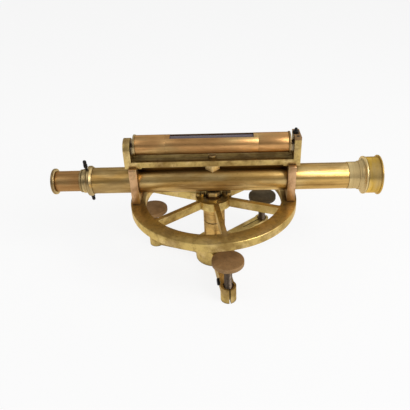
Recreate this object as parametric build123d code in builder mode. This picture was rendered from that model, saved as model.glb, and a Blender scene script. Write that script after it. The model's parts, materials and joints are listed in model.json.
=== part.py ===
"""Brass theodolite: a three-armed levelling base, a spoked horizontal circle that turns on
it, and a telescope fixed in two standards, with an adjustable spirit level above.

Millimetres, +Z up. The origin is the centre of the tripod socket's mouth in the underside
of the base. The telescope lies along X, with its objective towards +X.
"""

from build123d import *
from math import cos, hypot, radians, sin, sqrt
import os

os.makedirs("parts", exist_ok=True)

# Fits: radial play of what turns or slides, and of what is screwed or pressed home
running_fit = 0.05
seat_fit = 0.02
end_play = 0.3

# Levelling base
boss_radius = 25.8
boss_height = 23.5
boss_chamfer = 1.2
foot_names = ("front", "right", "left")
foot_start_angle = -79.5
foot_circle_radius = 87.0
foot_boss_radius = 9.4
foot_boss_height = 20.5
arm_width = 15.4
arm_rise = 3.0
arm_root_fillet = 5.0
saw_cut_width = 1.5
saw_cut_length = 36.0
tripod_thread_radius = 6.75
tripod_thread_depth = 12.0
tripod_web = 2.0

# Levelling screws
foot_screw_radius = 4.7
foot_screw_lift = 1.0
foot_screw_length = 51.8
foot_screw_tip_chamfer = 1.0
foot_recess_radius = 6.6
foot_recess_depth = 2.0
knob_radius = 18.7
knob_thickness = 5.4
knob_edge = 0.6
knob_seat_radius = 3.6
knob_web = 1.3

# Clamp screws across the split feet
clamp_inset = 17.6
clamp_height = 12.4
clamp_screw_radius = 2.2
clamp_seat_depth = 1.5
clamp_head_radius = 4.4
clamp_head_length = 4.2
clamp_head_edge = 0.5
clamp_slot_width = 1.1
clamp_slot_depth = 1.3

# Vertical axis
column_radius = 13.6
column_edge = 0.4
seam_height = 58.5
thrust_washer_radius = 12.8
thrust_washer_thickness = 0.8
socket_flange_radius = 18.8
socket_flange_thickness = 2.6
spindle_radius = 7.0
journal_radius = 5.5
spindle_thread_radius = 4.0
hub_washer_radius = 9.7
hub_washer_thickness = 2.8
nut_across_flats = 16.5
hub_nut_height = 5.4
nut_turn = -9.0

# Horizontal circle
circle_top = 92.5
circle_height = 10.5
circle_radius = 102.2
circle_edge = 0.5
rim_width = 18.0
hub_radius = 22.4
hub_recess_radius = 10.1
hub_recess_depth = 1.0
spoke_count = 6
spoke_start_angle = -81.0
spoke_width = 6.0
spoke_root_fillet = 1.5
hub_screw_place = 16.0
hub_screw_radius = 1.5
hub_screw_head_radius = 5.7
hub_screw_head_height = 5.0
hub_screw_head_edge = 0.6
hub_screw_slot_width = 1.2
hub_screw_slot_depth = 1.6
oil_hole_radius = 1.1
oil_hole_place = 17.0
oil_hole_angle = -74.0
oil_hole_depth = 4.0

# Standards
standard_middle = 93.5
standard_thickness = 9.3
standard_half_width = 19.0
standard_corner = 2.0
standard_screw_spread = 24.0
standard_screw_radius = 1.6
standard_screw_head_radius = 3.2
standard_screw_head_height = 2.2
standard_screw_reach = 6.0

# Telescope tube with its light stops
sight_height = 116.9
tube_radius = 15.9
tube_bore_radius = 14.4
tube_left = -145.0
tube_right = 162.1
light_stop_places = (-40.0, 60.0)
light_stop_thickness = 1.5
light_stop_opening = 10.0

# Objective cell
cell_spigot_length = 12.0
cell_throat_radius = 13.2
cell_throat_length = 13.0
cell_sleeve_radius = 16.4
cell_sleeve_length = 12.6
cell_flare_root = 17.3
cell_flare_width = 6.2
cell_flare_radius = 22.2
cell_ring_radius = 22.9
cell_ring_width = 2.1
cell_barrel_radius = 20.5
cell_barrel_length = 11.2
cell_bore_radius = 17.5
lens_seat_depth = 12.0
lens_seat_radius = 16.0
flint_rim = 4.5
crown_rim = 2.0
cement_sphere = 62.0
crown_front_sphere = 70.0
lens_ring_width = 2.5
lens_ring_opening = 15.5

# Ray shade
shade_radius = 22.05
shade_gap = 0.7
shade_right = 200.6
shade_bead_radius = 1.1
shade_lip_radius = 24.1
shade_mouth_radius = 21.2
shade_mouth_depth = 6.0

# Reticle collar and focusing draw
collar_left = -160.4
collar_lip_radius = 14.0
collar_lip_width = 1.8
collar_groove_radius = 13.4
collar_groove_width = 1.6
collar_band_radius = 14.8
collar_band_width = 2.4
collar_flare_width = 4.0
collar_rim_radius = 18.4
collar_rim_width = 3.0
collar_right_radius = 16.4
reticle_room_radius = 12.2
draw_tube_wall = 1.15
draw_tube_length = 62.0
draw_tube_seat = 4.0
sleeve_left = -190.3
sleeve_radius = 12.6
sleeve_bore_radius = 11.3
sleeve_seat = 5.5
reticle_radius = 11.0
reticle_opening = 8.0
reticle_thickness = 4.0
reticle_middle = -151.6
hair_radius = 0.15
hair_grip = 1.5
capstan_tilt = 10.0
capstan_shank_radius = 1.3
capstan_thread_depth = 2.0
capstan_clearance = 0.3
capstan_head_start = 21.0
capstan_collar_radius = 2.4
capstan_collar_length = 3.6
capstan_neck_radius = 1.5
capstan_neck_length = 0.8
capstan_head_radius = 2.1
capstan_head_length = 5.4
capstan_hole_radius = 0.7

# Eyepiece
eye_cap_radius = 15.8
eye_cap_thickness = 4.3
eye_cap_round = 1.4
eye_cap_dish_radius = 11.5
eye_cap_dish_depth = 1.2
eye_hole_radius = 4.5
eye_cap_stub_length = 6.0
eyepiece_wall = 1.2
eyepiece_length = 34.9
eyepiece_lip_width = 1.2
eyepiece_lip_opening = 9.0
eye_lens_rim = 2.0
eye_lens_sphere = 24.0
field_lens_rim = 2.0
field_lens_sphere = 26.0
spacer_wall = 1.2

# Frame that carries the level
bar_bottom = 139.5
bar_thickness = 6.8
bar_half_width = 12.7
frame_end = 103.0
upright_thickness = 8.0
upright_top = 173.7
dome_middle = 158.7
leg_drop = 1.5
leg_inner = 83.2
frame_screw_place = 91.7
frame_screw_radius = 1.5
frame_screw_head_radius = 2.6
frame_screw_head_height = 1.6
frame_screw_reach = 5.0
post_across_flats = 17.5
post_turn = 30.0
centre_screw_radius = 2.5
centre_screw_head_radius = 5.0
centre_screw_head_height = 2.4
centre_screw_reach = 5.5
centre_screw_slot_width = 1.2
centre_screw_slot_depth = 1.2

# Spirit level
level_height = 163.0
level_radius = 11.85
level_bore_radius = 10.4
level_end = 91.3
level_sleeve_half = 54.0
level_joint_radius = 11.15
level_joint_length = 5.0
level_ring_radius = 12.6
level_ring_width = 2.2
level_plug_depth = 4.0
window_half_length = 48.6
window_half_width = 6.3
vial_radius = 9.9
vial_wall = 1.2
vial_half_length = 56.0
bubble_middle = 40.0
bubble_half_length = 8.0
bubble_depth = 3.0
packing_inset = 5.0
packing_width = 2.5
stud_radius = 2.6
stud_seat = 4.0
pivot_seat = 3.0
lift_stud_end = 101.3
lift_travel = 1.75
lift_slot_depth = 6.8

# Adjusting screw of the level, held down by a cap on the right upright
adjuster_place = 97.6
adjuster_radius = 1.5
adjuster_thread_play = 0.12
adjuster_collar_radius = 2.6
adjuster_collar_height = 1.7
adjuster_seat_depth = 4.0
adjuster_head_radius = 3.4
adjuster_head_height = 3.6
adjuster_peg_radius = 1.7
adjuster_peg_height = 3.0
adjuster_head_round = 0.7
adjuster_hole_radius = 0.9
adjuster_cap_thickness = 3.6
cap_screw_spread = 17.0
cap_screw_radius = 1.0
cap_screw_head_radius = 1.9
cap_screw_head_height = 1.2
cap_screw_reach = 4.0

# Heights and places that follow from the sizes above
foot_count = len(foot_names)
foot_angles = [foot_start_angle + 360.0 / foot_count * step for step in range(foot_count)]
clamp_place = foot_circle_radius - clamp_inset
spindle_foot = tripod_thread_depth + tripod_web
column_top = seam_height - thrust_washer_thickness
clamp_seat = arm_width / 2 - clamp_seat_depth
circle_bottom = circle_top - circle_height
rim_inner_radius = circle_radius - rim_width
hub_floor = circle_top - hub_recess_depth
hub_washer_bottom = hub_floor + end_play
hub_nut_bottom = hub_washer_bottom + hub_washer_thickness
hub_nut_top = hub_nut_bottom + hub_nut_height
bar_top = bar_bottom + bar_thickness
leg_bottom = bar_bottom - leg_drop
upright_inner = frame_end - upright_thickness
cap_bottom = upright_top - adjuster_cap_thickness
cap_middle = (upright_inner + frame_end) / 2
lift_slot_half = stud_radius + lift_travel + end_play

cell_sleeve_right = tube_right + cell_sleeve_length
cell_ring_left = cell_sleeve_right + cell_flare_width
cell_ring_right = cell_ring_left + cell_ring_width
cell_barrel_right = cell_ring_right + cell_barrel_length
shade_left = cell_ring_right + shade_gap
lens_seat = cell_barrel_right - lens_seat_depth
shade_bore_radius = cell_barrel_radius + running_fit

draw_tube_radius = tube_bore_radius - running_fit
draw_tube_left = tube_left - draw_tube_seat
sleeve_right = collar_left + sleeve_seat
eyepiece_radius = sleeve_bore_radius - running_fit
eyepiece_bore_radius = eyepiece_radius - eyepiece_wall
eyepiece_right = sleeve_left + eyepiece_length
eye_lens_left = sleeve_left + eye_cap_stub_length
field_lens_right = eyepiece_right - eyepiece_lip_width
level_plug_left = level_end - level_ring_width

sight_axis = Axis((0, 0, sight_height), (1, 0, 0))
sight_plane = Plane(origin=(0, 0, sight_height), x_dir=(1, 0, 0), z_dir=(0, -1, 0))
level_axis = Axis((0, 0, level_height), (1, 0, 0))
level_plane = Plane(origin=(0, 0, level_height), x_dir=(1, 0, 0), z_dir=(0, -1, 0))


def band(left, right, inner, outer, mode=Mode.ADD):
    """Half section of a ring about the X axis, for a revolve."""
    with Locations(((left + right) / 2, (inner + outer) / 2)):
        Rectangle(right - left, outer - inner, mode=mode)


def sag(sphere, reach):
    """Height of a spherical cap of the given base radius."""
    return sphere - sqrt(sphere**2 - reach**2)


def turned_ring(plane, axis, left, right, inner, outer):
    """A plain ring or disc on the telescope's or the level's axis."""
    with BuildPart() as ring:
        with BuildSketch(plane):
            band(left, right, inner, outer)
        revolve(axis=axis)
    return ring


def flat_ring(height, thickness, outer, inner):
    """A flat ring on the vertical axis, standing on the given height."""
    with BuildPart() as ring:
        with BuildSketch(Plane.XY.offset(height)):
            Circle(outer)
            Circle(inner, mode=Mode.SUBTRACT)
        extrude(amount=thickness)
    return ring


def lens(left_rim, right_rim, radius, left_bulge, right_bulge):
    """A lens on the sight line. A face that bulges outwards has a positive bulge."""
    with BuildPart() as glass:
        with BuildSketch(sight_plane):
            with BuildLine():
                left_apex = (left_rim - left_bulge, 0)
                right_apex = (right_rim + right_bulge, 0)
                if left_bulge == 0:
                    Line(left_apex, (left_rim, radius))
                else:
                    TangentArc(left_apex, (left_rim, radius), tangent=(0, 1))
                Line((left_rim, radius), (right_rim, radius))
                if right_bulge == 0:
                    Line((right_rim, radius), right_apex)
                else:
                    TangentArc(right_apex, (right_rim, radius), tangent=(0, 1))
                Line(right_apex, left_apex)
            make_face()
        revolve(axis=sight_axis)
    return glass


def across_arm(angle):
    """Plane along an arm's middle at the clamp, its normal along the clamp screw."""
    turn = radians(angle)
    return Plane(
        origin=(clamp_place * cos(turn), clamp_place * sin(turn), clamp_height),
        x_dir=(cos(turn), sin(turn), 0),
        z_dir=(sin(turn), -cos(turn), 0),
    )


def capstan_plane(angle):
    """Plane across the sight line at the reticle, its y along a capstan screw."""
    turn = radians(angle)
    return Plane(
        origin=(reticle_middle, 0, sight_height),
        x_dir=(1, 0, 0),
        z_dir=(0, -cos(turn), -sin(turn)),
    )


def finish(piece, name):
    """Label a piece and write it out."""
    piece.part.label = name
    export_step(piece.part, f"parts/{name}.step")


# Base: a round boss and three arms, each end split by a saw cut to grip its screw
with BuildPart() as tribrach:
    with BuildSketch(Plane.XY.offset(arm_rise)) as planform:
        Circle(boss_radius)
        with PolarLocations(foot_circle_radius / 2, foot_count, foot_start_angle):
            Rectangle(foot_circle_radius, arm_width)
        with PolarLocations(foot_circle_radius, foot_count, foot_start_angle, rotate=False):
            Circle(foot_boss_radius)
        fillet(planform.vertices().sort_by_distance((0, 0))[: 2 * foot_count], arm_root_fillet)
    extrude(amount=foot_boss_height - arm_rise)
    with BuildSketch(Plane.XY):
        Circle(boss_radius)
        with PolarLocations(foot_circle_radius, foot_count, foot_start_angle, rotate=False):
            Circle(foot_boss_radius)
    extrude(amount=arm_rise)
    with BuildSketch(Plane.XY.offset(foot_boss_height)):
        Circle(boss_radius)
    extrude(amount=boss_height - foot_boss_height)
    chamfer(tribrach.faces().sort_by(Axis.Z)[-1].edges(), boss_chamfer)
    with Locations((0, 0, foot_boss_height)):
        with PolarLocations(foot_circle_radius, foot_count, foot_start_angle, rotate=False):
            CounterBoreHole(foot_screw_radius + running_fit, foot_recess_radius, foot_recess_depth)
    saw_cut_start = foot_circle_radius - saw_cut_length
    saw_cut_end = foot_circle_radius + foot_boss_radius + saw_cut_width
    with BuildSketch(Plane.XY):
        with PolarLocations((saw_cut_start + saw_cut_end) / 2, foot_count, foot_start_angle):
            Rectangle(saw_cut_end - saw_cut_start, saw_cut_width)
    extrude(amount=foot_boss_height, mode=Mode.SUBTRACT)
    for angle in foot_angles:
        with BuildSketch(across_arm(angle)):
            Circle(clamp_screw_radius + running_fit)
        extrude(amount=arm_width, both=True, mode=Mode.SUBTRACT)
        with BuildSketch(across_arm(angle).offset(clamp_seat)):
            Circle(clamp_head_radius + running_fit)
        extrude(amount=clamp_head_length, mode=Mode.SUBTRACT)
    with BuildSketch(Plane.XY.offset(spindle_foot)):
        Circle(spindle_radius + seat_fit)
    extrude(amount=boss_height - spindle_foot, mode=Mode.SUBTRACT)
    with BuildSketch(Plane.XY):
        Circle(tripod_thread_radius)
    extrude(amount=tripod_thread_depth, mode=Mode.SUBTRACT)
finish(tribrach, "tribrach")

# At each foot: the clamp screw, the levelling screw and the knob on top of it
for foot, angle in zip(foot_names, foot_angles):
    with BuildPart() as clamp_screw:
        with BuildSketch(across_arm(angle).offset(-arm_width / 2)):
            Circle(clamp_screw_radius)
        extrude(amount=arm_width / 2 + clamp_seat)
        with BuildSketch(across_arm(angle).offset(clamp_seat)):
            Circle(clamp_head_radius)
        extrude(amount=clamp_head_length)
        head_face = clamp_screw.faces().sort_by(Axis(across_arm(angle).origin, across_arm(angle).z_dir))[-1]
        chamfer(head_face.edges(), clamp_head_edge)
        with BuildSketch(across_arm(angle).offset(clamp_seat + clamp_head_length)):
            Rectangle(2 * clamp_head_radius, clamp_slot_width)
        extrude(amount=-clamp_slot_depth, mode=Mode.SUBTRACT)
    finish(clamp_screw, f"clamp_screw_{foot}")

    foot_x = foot_circle_radius * cos(radians(angle))
    foot_y = foot_circle_radius * sin(radians(angle))
    foot_plane = Plane(origin=(foot_x, foot_y, foot_screw_lift))
    with BuildPart() as levelling_screw:
        with BuildSketch(foot_plane):
            Circle(foot_screw_radius)
        extrude(amount=foot_screw_length)
        chamfer(levelling_screw.faces().sort_by(Axis.Z)[0].edges(), foot_screw_tip_chamfer)
        with BuildSketch(foot_plane.offset(foot_screw_length)):
            Circle(knob_seat_radius)
        extrude(amount=knob_thickness - knob_web)
    finish(levelling_screw, f"levelling_screw_{foot}")

    with BuildPart() as levelling_knob:
        with BuildSketch(foot_plane.offset(foot_screw_length)):
            Circle(knob_radius)
        extrude(amount=knob_thickness)
        chamfer(levelling_knob.edges().filter_by(GeomType.CIRCLE), knob_edge)
        with BuildSketch(foot_plane.offset(foot_screw_length)):
            Circle(knob_seat_radius + seat_fit)
        extrude(amount=knob_thickness - knob_web, mode=Mode.SUBTRACT)
    finish(levelling_knob, f"levelling_knob_{foot}")

# Vertical axis: a fixed column round the spindle, and the socket that turns on top of it
with BuildPart() as column:
    with BuildSketch(Plane.XY.offset(boss_height)):
        Circle(column_radius)
        Circle(spindle_radius + seat_fit, mode=Mode.SUBTRACT)
    extrude(amount=column_top - boss_height)
    chamfer(column.faces().sort_by(Axis.Z)[-1].outer_wire().edges(), column_edge)
finish(column, "column")

with BuildPart() as spindle:
    with BuildSketch(Plane.XY.offset(spindle_foot)):
        Circle(spindle_radius)
    extrude(amount=column_top - spindle_foot)
    with BuildSketch(Plane.XY.offset(column_top)):
        Circle(journal_radius)
    extrude(amount=hub_washer_bottom - column_top)
    with BuildSketch(Plane.XY.offset(hub_washer_bottom)):
        Circle(spindle_thread_radius)
    extrude(amount=hub_nut_top - hub_washer_bottom)
finish(spindle, "spindle")

thrust_washer = flat_ring(
    column_top, thrust_washer_thickness, thrust_washer_radius, journal_radius + seat_fit
)
finish(thrust_washer, "thrust_washer")

with BuildPart() as socket:
    with BuildSketch(Plane.XY.offset(seam_height)):
        Circle(column_radius)
    extrude(amount=circle_bottom - seam_height)
    chamfer(socket.faces().sort_by(Axis.Z)[0].edges(), column_edge)
    with BuildSketch(Plane.XY.offset(circle_bottom - socket_flange_thickness)):
        Circle(socket_flange_radius)
    extrude(amount=socket_flange_thickness)
    with BuildSketch(Plane.XY.offset(seam_height)):
        Circle(journal_radius + running_fit)
    extrude(amount=circle_bottom - seam_height, mode=Mode.SUBTRACT)
    with BuildSketch(Plane.XY.offset(circle_bottom - socket_flange_thickness)):
        with Locations((-hub_screw_place, 0), (hub_screw_place, 0)):
            Circle(hub_screw_radius + seat_fit)
    extrude(amount=socket_flange_thickness, mode=Mode.SUBTRACT)
finish(socket, "socket")

hub_washer = flat_ring(
    hub_washer_bottom, hub_washer_thickness, hub_washer_radius, spindle_thread_radius + seat_fit
)
finish(hub_washer, "hub_washer")

with BuildPart() as hub_nut:
    with BuildSketch(Plane.XY.offset(hub_nut_bottom)):
        RegularPolygon(nut_across_flats / 2, 6, major_radius=False, rotation=nut_turn)
        Circle(spindle_thread_radius + seat_fit, mode=Mode.SUBTRACT)
    extrude(amount=hub_nut_height)
finish(hub_nut, "hub_nut")

# Horizontal circle: rim, spokes and hub in one casting
with BuildPart() as horizontal_circle:
    spoke_reach = circle_radius - rim_width / 2
    with BuildSketch(Plane.XY.offset(circle_bottom)) as planform:
        Circle(circle_radius)
        Circle(rim_inner_radius, mode=Mode.SUBTRACT)
        Circle(hub_radius)
        with PolarLocations(spoke_reach / 2, spoke_count, spoke_start_angle):
            Rectangle(spoke_reach, spoke_width)
        spoke_ends = planform.vertices().filter_by(
            lambda corner: hub_radius + spoke_width < hypot(corner.X, corner.Y) < spoke_reach
        )
        fillet(spoke_ends, spoke_root_fillet)
    extrude(amount=circle_height)
    outer_rims = horizontal_circle.edges().filter_by(GeomType.CIRCLE).group_by(SortBy.RADIUS)[-1]
    chamfer(outer_rims, circle_edge)
    with BuildSketch(Plane.XY.offset(circle_bottom)):
        Circle(journal_radius + running_fit)
        with Locations((-hub_screw_place, 0), (hub_screw_place, 0)):
            Circle(hub_screw_radius + seat_fit)
        with GridLocations(2 * standard_middle, standard_screw_spread, 2, 2):
            Circle(standard_screw_radius + seat_fit)
    extrude(amount=circle_height, mode=Mode.SUBTRACT)
    with BuildSketch(Plane.XY.offset(circle_bottom)):
        with GridLocations(2 * standard_middle, standard_screw_spread, 2, 2):
            Circle(standard_screw_head_radius + seat_fit)
    extrude(amount=standard_screw_head_height, mode=Mode.SUBTRACT)
    with BuildSketch(Plane.XY.offset(circle_top)):
        Circle(hub_recess_radius)
    extrude(amount=-hub_recess_depth, mode=Mode.SUBTRACT)
    with BuildSketch(Plane.XY.offset(circle_top)):
        with PolarLocations(oil_hole_place, 1, oil_hole_angle):
            Circle(oil_hole_radius)
    extrude(amount=-oil_hole_depth, mode=Mode.SUBTRACT)
finish(horizontal_circle, "horizontal_circle")

with BuildPart() as hub_screws:
    with BuildSketch(Plane.XY.offset(circle_bottom - socket_flange_thickness)):
        with Locations((-hub_screw_place, 0), (hub_screw_place, 0)):
            Circle(hub_screw_radius)
    extrude(amount=circle_height + socket_flange_thickness)
    with BuildSketch(Plane.XY.offset(circle_top)):
        with Locations((-hub_screw_place, 0), (hub_screw_place, 0)):
            Circle(hub_screw_head_radius)
    extrude(amount=hub_screw_head_height)
    chamfer(hub_screws.edges().filter_by(GeomType.CIRCLE).group_by(Axis.Z)[-1], hub_screw_head_edge)
    with BuildSketch(Plane.XY.offset(circle_top + hub_screw_head_height)):
        with Locations((-hub_screw_place, 0), (hub_screw_place, 0)):
            Rectangle(hub_screw_slot_width, 2 * hub_screw_head_radius)
    extrude(amount=-hub_screw_slot_depth, mode=Mode.SUBTRACT)
finish(hub_screws, "hub_screws")

# Standards: two plates on the rim, bored for the telescope
for side, place in (("left", -standard_middle), ("right", standard_middle)):
    with BuildPart() as standard:
        with BuildSketch(Plane.YZ.offset(place)) as face:
            with Locations((0, (circle_top + bar_bottom) / 2)):
                Rectangle(2 * standard_half_width, bar_bottom - circle_top)
            fillet(face.vertices().group_by(Axis.Y)[-1], standard_corner)
            with Locations((0, sight_height)):
                Circle(tube_radius + seat_fit, mode=Mode.SUBTRACT)
        extrude(amount=standard_thickness / 2, both=True)
        with BuildSketch(Plane.XY.offset(circle_top)):
            with Locations((place, -standard_screw_spread / 2), (place, standard_screw_spread / 2)):
                Circle(standard_screw_radius + seat_fit)
        extrude(amount=standard_screw_reach, mode=Mode.SUBTRACT)
        with BuildSketch(Plane.XY.offset(bar_bottom)):
            with Locations((place / standard_middle * frame_screw_place, 0)):
                Circle(frame_screw_radius + seat_fit)
        extrude(amount=-frame_screw_reach, mode=Mode.SUBTRACT)
    finish(standard, f"standard_{side}")

with BuildPart() as standard_screws:
    with BuildSketch(Plane.XY.offset(circle_bottom)):
        with GridLocations(2 * standard_middle, standard_screw_spread, 2, 2):
            Circle(standard_screw_head_radius)
    extrude(amount=standard_screw_head_height)
    with BuildSketch(Plane.XY.offset(circle_bottom)):
        with GridLocations(2 * standard_middle, standard_screw_spread, 2, 2):
            Circle(standard_screw_radius)
    extrude(amount=circle_height + standard_screw_reach)
finish(standard_screws, "standard_screws")

# Telescope body with two light stops inside
telescope_tube = turned_ring(
    sight_plane, sight_axis, tube_left, tube_right, tube_bore_radius, tube_radius
)
finish(telescope_tube, "telescope_tube")

with BuildPart() as light_stops:
    with BuildSketch(sight_plane):
        for place in light_stop_places:
            band(place, place + light_stop_thickness, light_stop_opening, tube_bore_radius - seat_fit)
    revolve(axis=sight_axis)
finish(light_stops, "light_stops")

# Objective cell: a spigot in the tube, a sleeve, a coved flare with a rim and the shade's barrel
with BuildPart() as objective_cell:
    with BuildSketch(sight_plane):
        with BuildLine():
            spigot_radius = tube_bore_radius - running_fit
            spigot_left = tube_right - cell_spigot_length
            Polyline(
                (cell_sleeve_right, cell_flare_root),
                (cell_sleeve_right, cell_sleeve_radius),
                (tube_right, cell_sleeve_radius),
                (tube_right, spigot_radius),
                (spigot_left, spigot_radius),
                (spigot_left, cell_throat_radius),
                (tube_right + cell_throat_length, cell_throat_radius),
                (lens_seat, lens_seat_radius),
                (lens_seat, cell_bore_radius + seat_fit),
                (cell_barrel_right, cell_bore_radius + seat_fit),
                (cell_barrel_right, cell_barrel_radius),
                (cell_ring_right, cell_barrel_radius),
                (cell_ring_right, cell_ring_radius),
                (cell_ring_left, cell_ring_radius),
                (cell_ring_left, cell_flare_radius),
            )
            TangentArc(
                (cell_sleeve_right, cell_flare_root),
                (cell_ring_left, cell_flare_radius),
                tangent=(1, 0),
            )
        make_face()
    revolve(axis=sight_axis)
finish(objective_cell, "objective_cell")

# Cemented objective: a flint behind, a crown in front and the ring that holds them
cement_sag = sag(cement_sphere, cell_bore_radius)
crown_sag = sag(crown_front_sphere, cell_bore_radius)
flint_right = lens_seat + flint_rim
crown_left = flint_right + seat_fit
crown_right = crown_left + crown_rim
flint_lens = lens(lens_seat, flint_right, cell_bore_radius, 0, -cement_sag)
finish(flint_lens, "flint_lens")
crown_lens = lens(crown_left, crown_right, cell_bore_radius, cement_sag, crown_sag)
finish(crown_lens, "crown_lens")
lens_ring_left = crown_right + crown_sag - sag(crown_front_sphere, lens_ring_opening)
lens_ring = turned_ring(
    sight_plane,
    sight_axis,
    lens_ring_left,
    lens_ring_left + lens_ring_width,
    lens_ring_opening,
    cell_bore_radius,
)
finish(lens_ring, "lens_ring")

# Ray shade: a sliding tube with a rolled bead round its mouth
with BuildPart() as ray_shade:
    with BuildSketch(sight_plane):
        band(shade_left, shade_right, shade_bore_radius, shade_radius)
        with Locations((shade_right - shade_bead_radius, shade_lip_radius - shade_bead_radius)):
            Circle(shade_bead_radius)
        with Locations((shade_right - shade_bead_radius, shade_radius)):
            Rectangle(2 * shade_bead_radius, 2 * (shade_lip_radius - shade_bead_radius - shade_radius))
        mouth_left = shade_right - shade_mouth_depth
        band(mouth_left, shade_right, shade_bore_radius, shade_mouth_radius, mode=Mode.SUBTRACT)
    revolve(axis=sight_axis)
finish(ray_shade, "ray_shade")

# Reticle collar: lip, groove, band, coved flare and rim, turned from one piece
collar_groove_left = collar_left + collar_lip_width
collar_band_left = collar_groove_left + collar_groove_width
collar_flare_left = collar_band_left + collar_band_width
collar_rim_left = collar_flare_left + collar_flare_width
collar_rim_right = collar_rim_left + collar_rim_width
with BuildPart() as reticle_collar:
    with BuildSketch(sight_plane):
        with BuildLine():
            Polyline(
                (collar_rim_left, collar_rim_radius),
                (collar_rim_right, collar_rim_radius),
                (tube_left, collar_right_radius),
                (tube_left, draw_tube_radius + seat_fit),
                (draw_tube_left, draw_tube_radius + seat_fit),
                (draw_tube_left, reticle_room_radius),
                (sleeve_right, reticle_room_radius),
                (sleeve_right, sleeve_radius + seat_fit),
                (collar_left, sleeve_radius + seat_fit),
                (collar_left, collar_lip_radius),
                (collar_groove_left, collar_lip_radius),
                (collar_groove_left, collar_groove_radius),
                (collar_band_left, collar_groove_radius),
                (collar_band_left, collar_band_radius),
                (collar_flare_left, collar_band_radius),
            )
            TangentArc(
                (collar_flare_left, collar_band_radius),
                (collar_rim_left, collar_rim_radius),
                tangent=(1, 0),
            )
        make_face()
    revolve(axis=sight_axis)
    with BuildSketch(capstan_plane(capstan_tilt).rotated((90, 0, 0))):
        Circle(capstan_shank_radius + capstan_clearance)
    extrude(amount=collar_rim_radius, both=True, mode=Mode.SUBTRACT)
finish(reticle_collar, "reticle_collar")

draw_tube = turned_ring(
    sight_plane,
    sight_axis,
    draw_tube_left,
    draw_tube_left + draw_tube_length,
    draw_tube_radius - draw_tube_wall,
    draw_tube_radius,
)
finish(draw_tube, "draw_tube")

ocular_sleeve = turned_ring(
    sight_plane, sight_axis, sleeve_left, sleeve_right, sleeve_bore_radius, sleeve_radius
)
finish(ocular_sleeve, "ocular_sleeve")

# Reticle: a ring with two crossed hairs, held between two capstan screws
reticle_right = reticle_middle + reticle_thickness / 2
with BuildPart() as reticle_ring:
    with BuildSketch(sight_plane):
        band(reticle_middle - reticle_thickness / 2, reticle_right, reticle_opening, reticle_radius)
    revolve(axis=sight_axis)
    with BuildSketch(capstan_plane(capstan_tilt).rotated((90, 0, 0))):
        Circle(capstan_shank_radius + seat_fit)
    extrude(amount=reticle_radius, both=True, mode=Mode.SUBTRACT)
finish(reticle_ring, "reticle_ring")

with BuildPart() as cross_hairs:
    for direction in (Plane.XY, Plane.XZ):
        hair_plane = Plane(
            origin=(reticle_right + hair_radius, 0, sight_height),
            x_dir=(1, 0, 0),
            z_dir=direction.z_dir,
        )
        with BuildSketch(hair_plane):
            Circle(hair_radius)
        extrude(amount=reticle_opening + hair_grip, both=True)
finish(cross_hairs, "cross_hairs")

with BuildPart() as capstan_screws:
    for angle in (capstan_tilt, capstan_tilt + 180.0):
        screw_plane = capstan_plane(angle)
        screw_start = reticle_radius - capstan_thread_depth
        neck_start = capstan_head_start + capstan_collar_length
        head_start = neck_start + capstan_neck_length
        head_end = head_start + capstan_head_length
        with BuildSketch(screw_plane):
            with BuildLine():
                Polyline(
                    (0, screw_start),
                    (capstan_shank_radius, screw_start),
                    (capstan_shank_radius, capstan_head_start),
                    (capstan_collar_radius, capstan_head_start),
                    (capstan_collar_radius, neck_start),
                    (capstan_neck_radius, neck_start),
                    (capstan_neck_radius, head_start),
                    (capstan_head_radius, head_start),
                    (capstan_head_radius, head_end - capstan_head_radius),
                )
                RadiusArc(
                    (capstan_head_radius, head_end - capstan_head_radius),
                    (0, head_end),
                    -capstan_head_radius,
                )
                Line((0, head_end), (0, screw_start))
            make_face()
        revolve(axis=Axis(screw_plane.origin, screw_plane.y_dir))
        hole_height = (head_start + head_end) / 2
        with BuildSketch(screw_plane):
            with Locations((0, hole_height)):
                Circle(capstan_hole_radius)
        extrude(amount=capstan_head_radius, both=True, mode=Mode.SUBTRACT)
finish(capstan_screws, "capstan_screws")

# Eyepiece: cap with a dished face, barrel, two lenses and the tube that keeps them apart
with BuildPart() as eye_cap:
    cap_left = sleeve_left - eye_cap_thickness
    with BuildSketch(sight_plane) as cap_profile:
        band(cap_left, sleeve_left, eye_hole_radius, eye_cap_radius)
        fillet(cap_profile.vertices().group_by(Axis.Y)[-1], eye_cap_round)
        band(cap_left, cap_left + eye_cap_dish_depth, 0, eye_cap_dish_radius, mode=Mode.SUBTRACT)
        band(sleeve_left, eye_lens_left, eye_hole_radius, eyepiece_bore_radius - seat_fit)
    revolve(axis=sight_axis)
finish(eye_cap, "eye_cap")

with BuildPart() as eyepiece_barrel:
    with BuildSketch(sight_plane):
        band(sleeve_left, eyepiece_right, eyepiece_bore_radius, eyepiece_radius)
        band(field_lens_right, eyepiece_right, eyepiece_lip_opening, eyepiece_bore_radius)
    revolve(axis=sight_axis)
finish(eyepiece_barrel, "eyepiece_barrel")

eyepiece_glass_radius = eyepiece_bore_radius - seat_fit
eye_lens = lens(
    eye_lens_left,
    eye_lens_left + eye_lens_rim,
    eyepiece_glass_radius,
    0,
    sag(eye_lens_sphere, eyepiece_glass_radius),
)
finish(eye_lens, "eye_lens")
field_lens = lens(
    field_lens_right - field_lens_rim,
    field_lens_right,
    eyepiece_glass_radius,
    sag(field_lens_sphere, eyepiece_glass_radius),
    0,
)
finish(field_lens, "field_lens")

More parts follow.
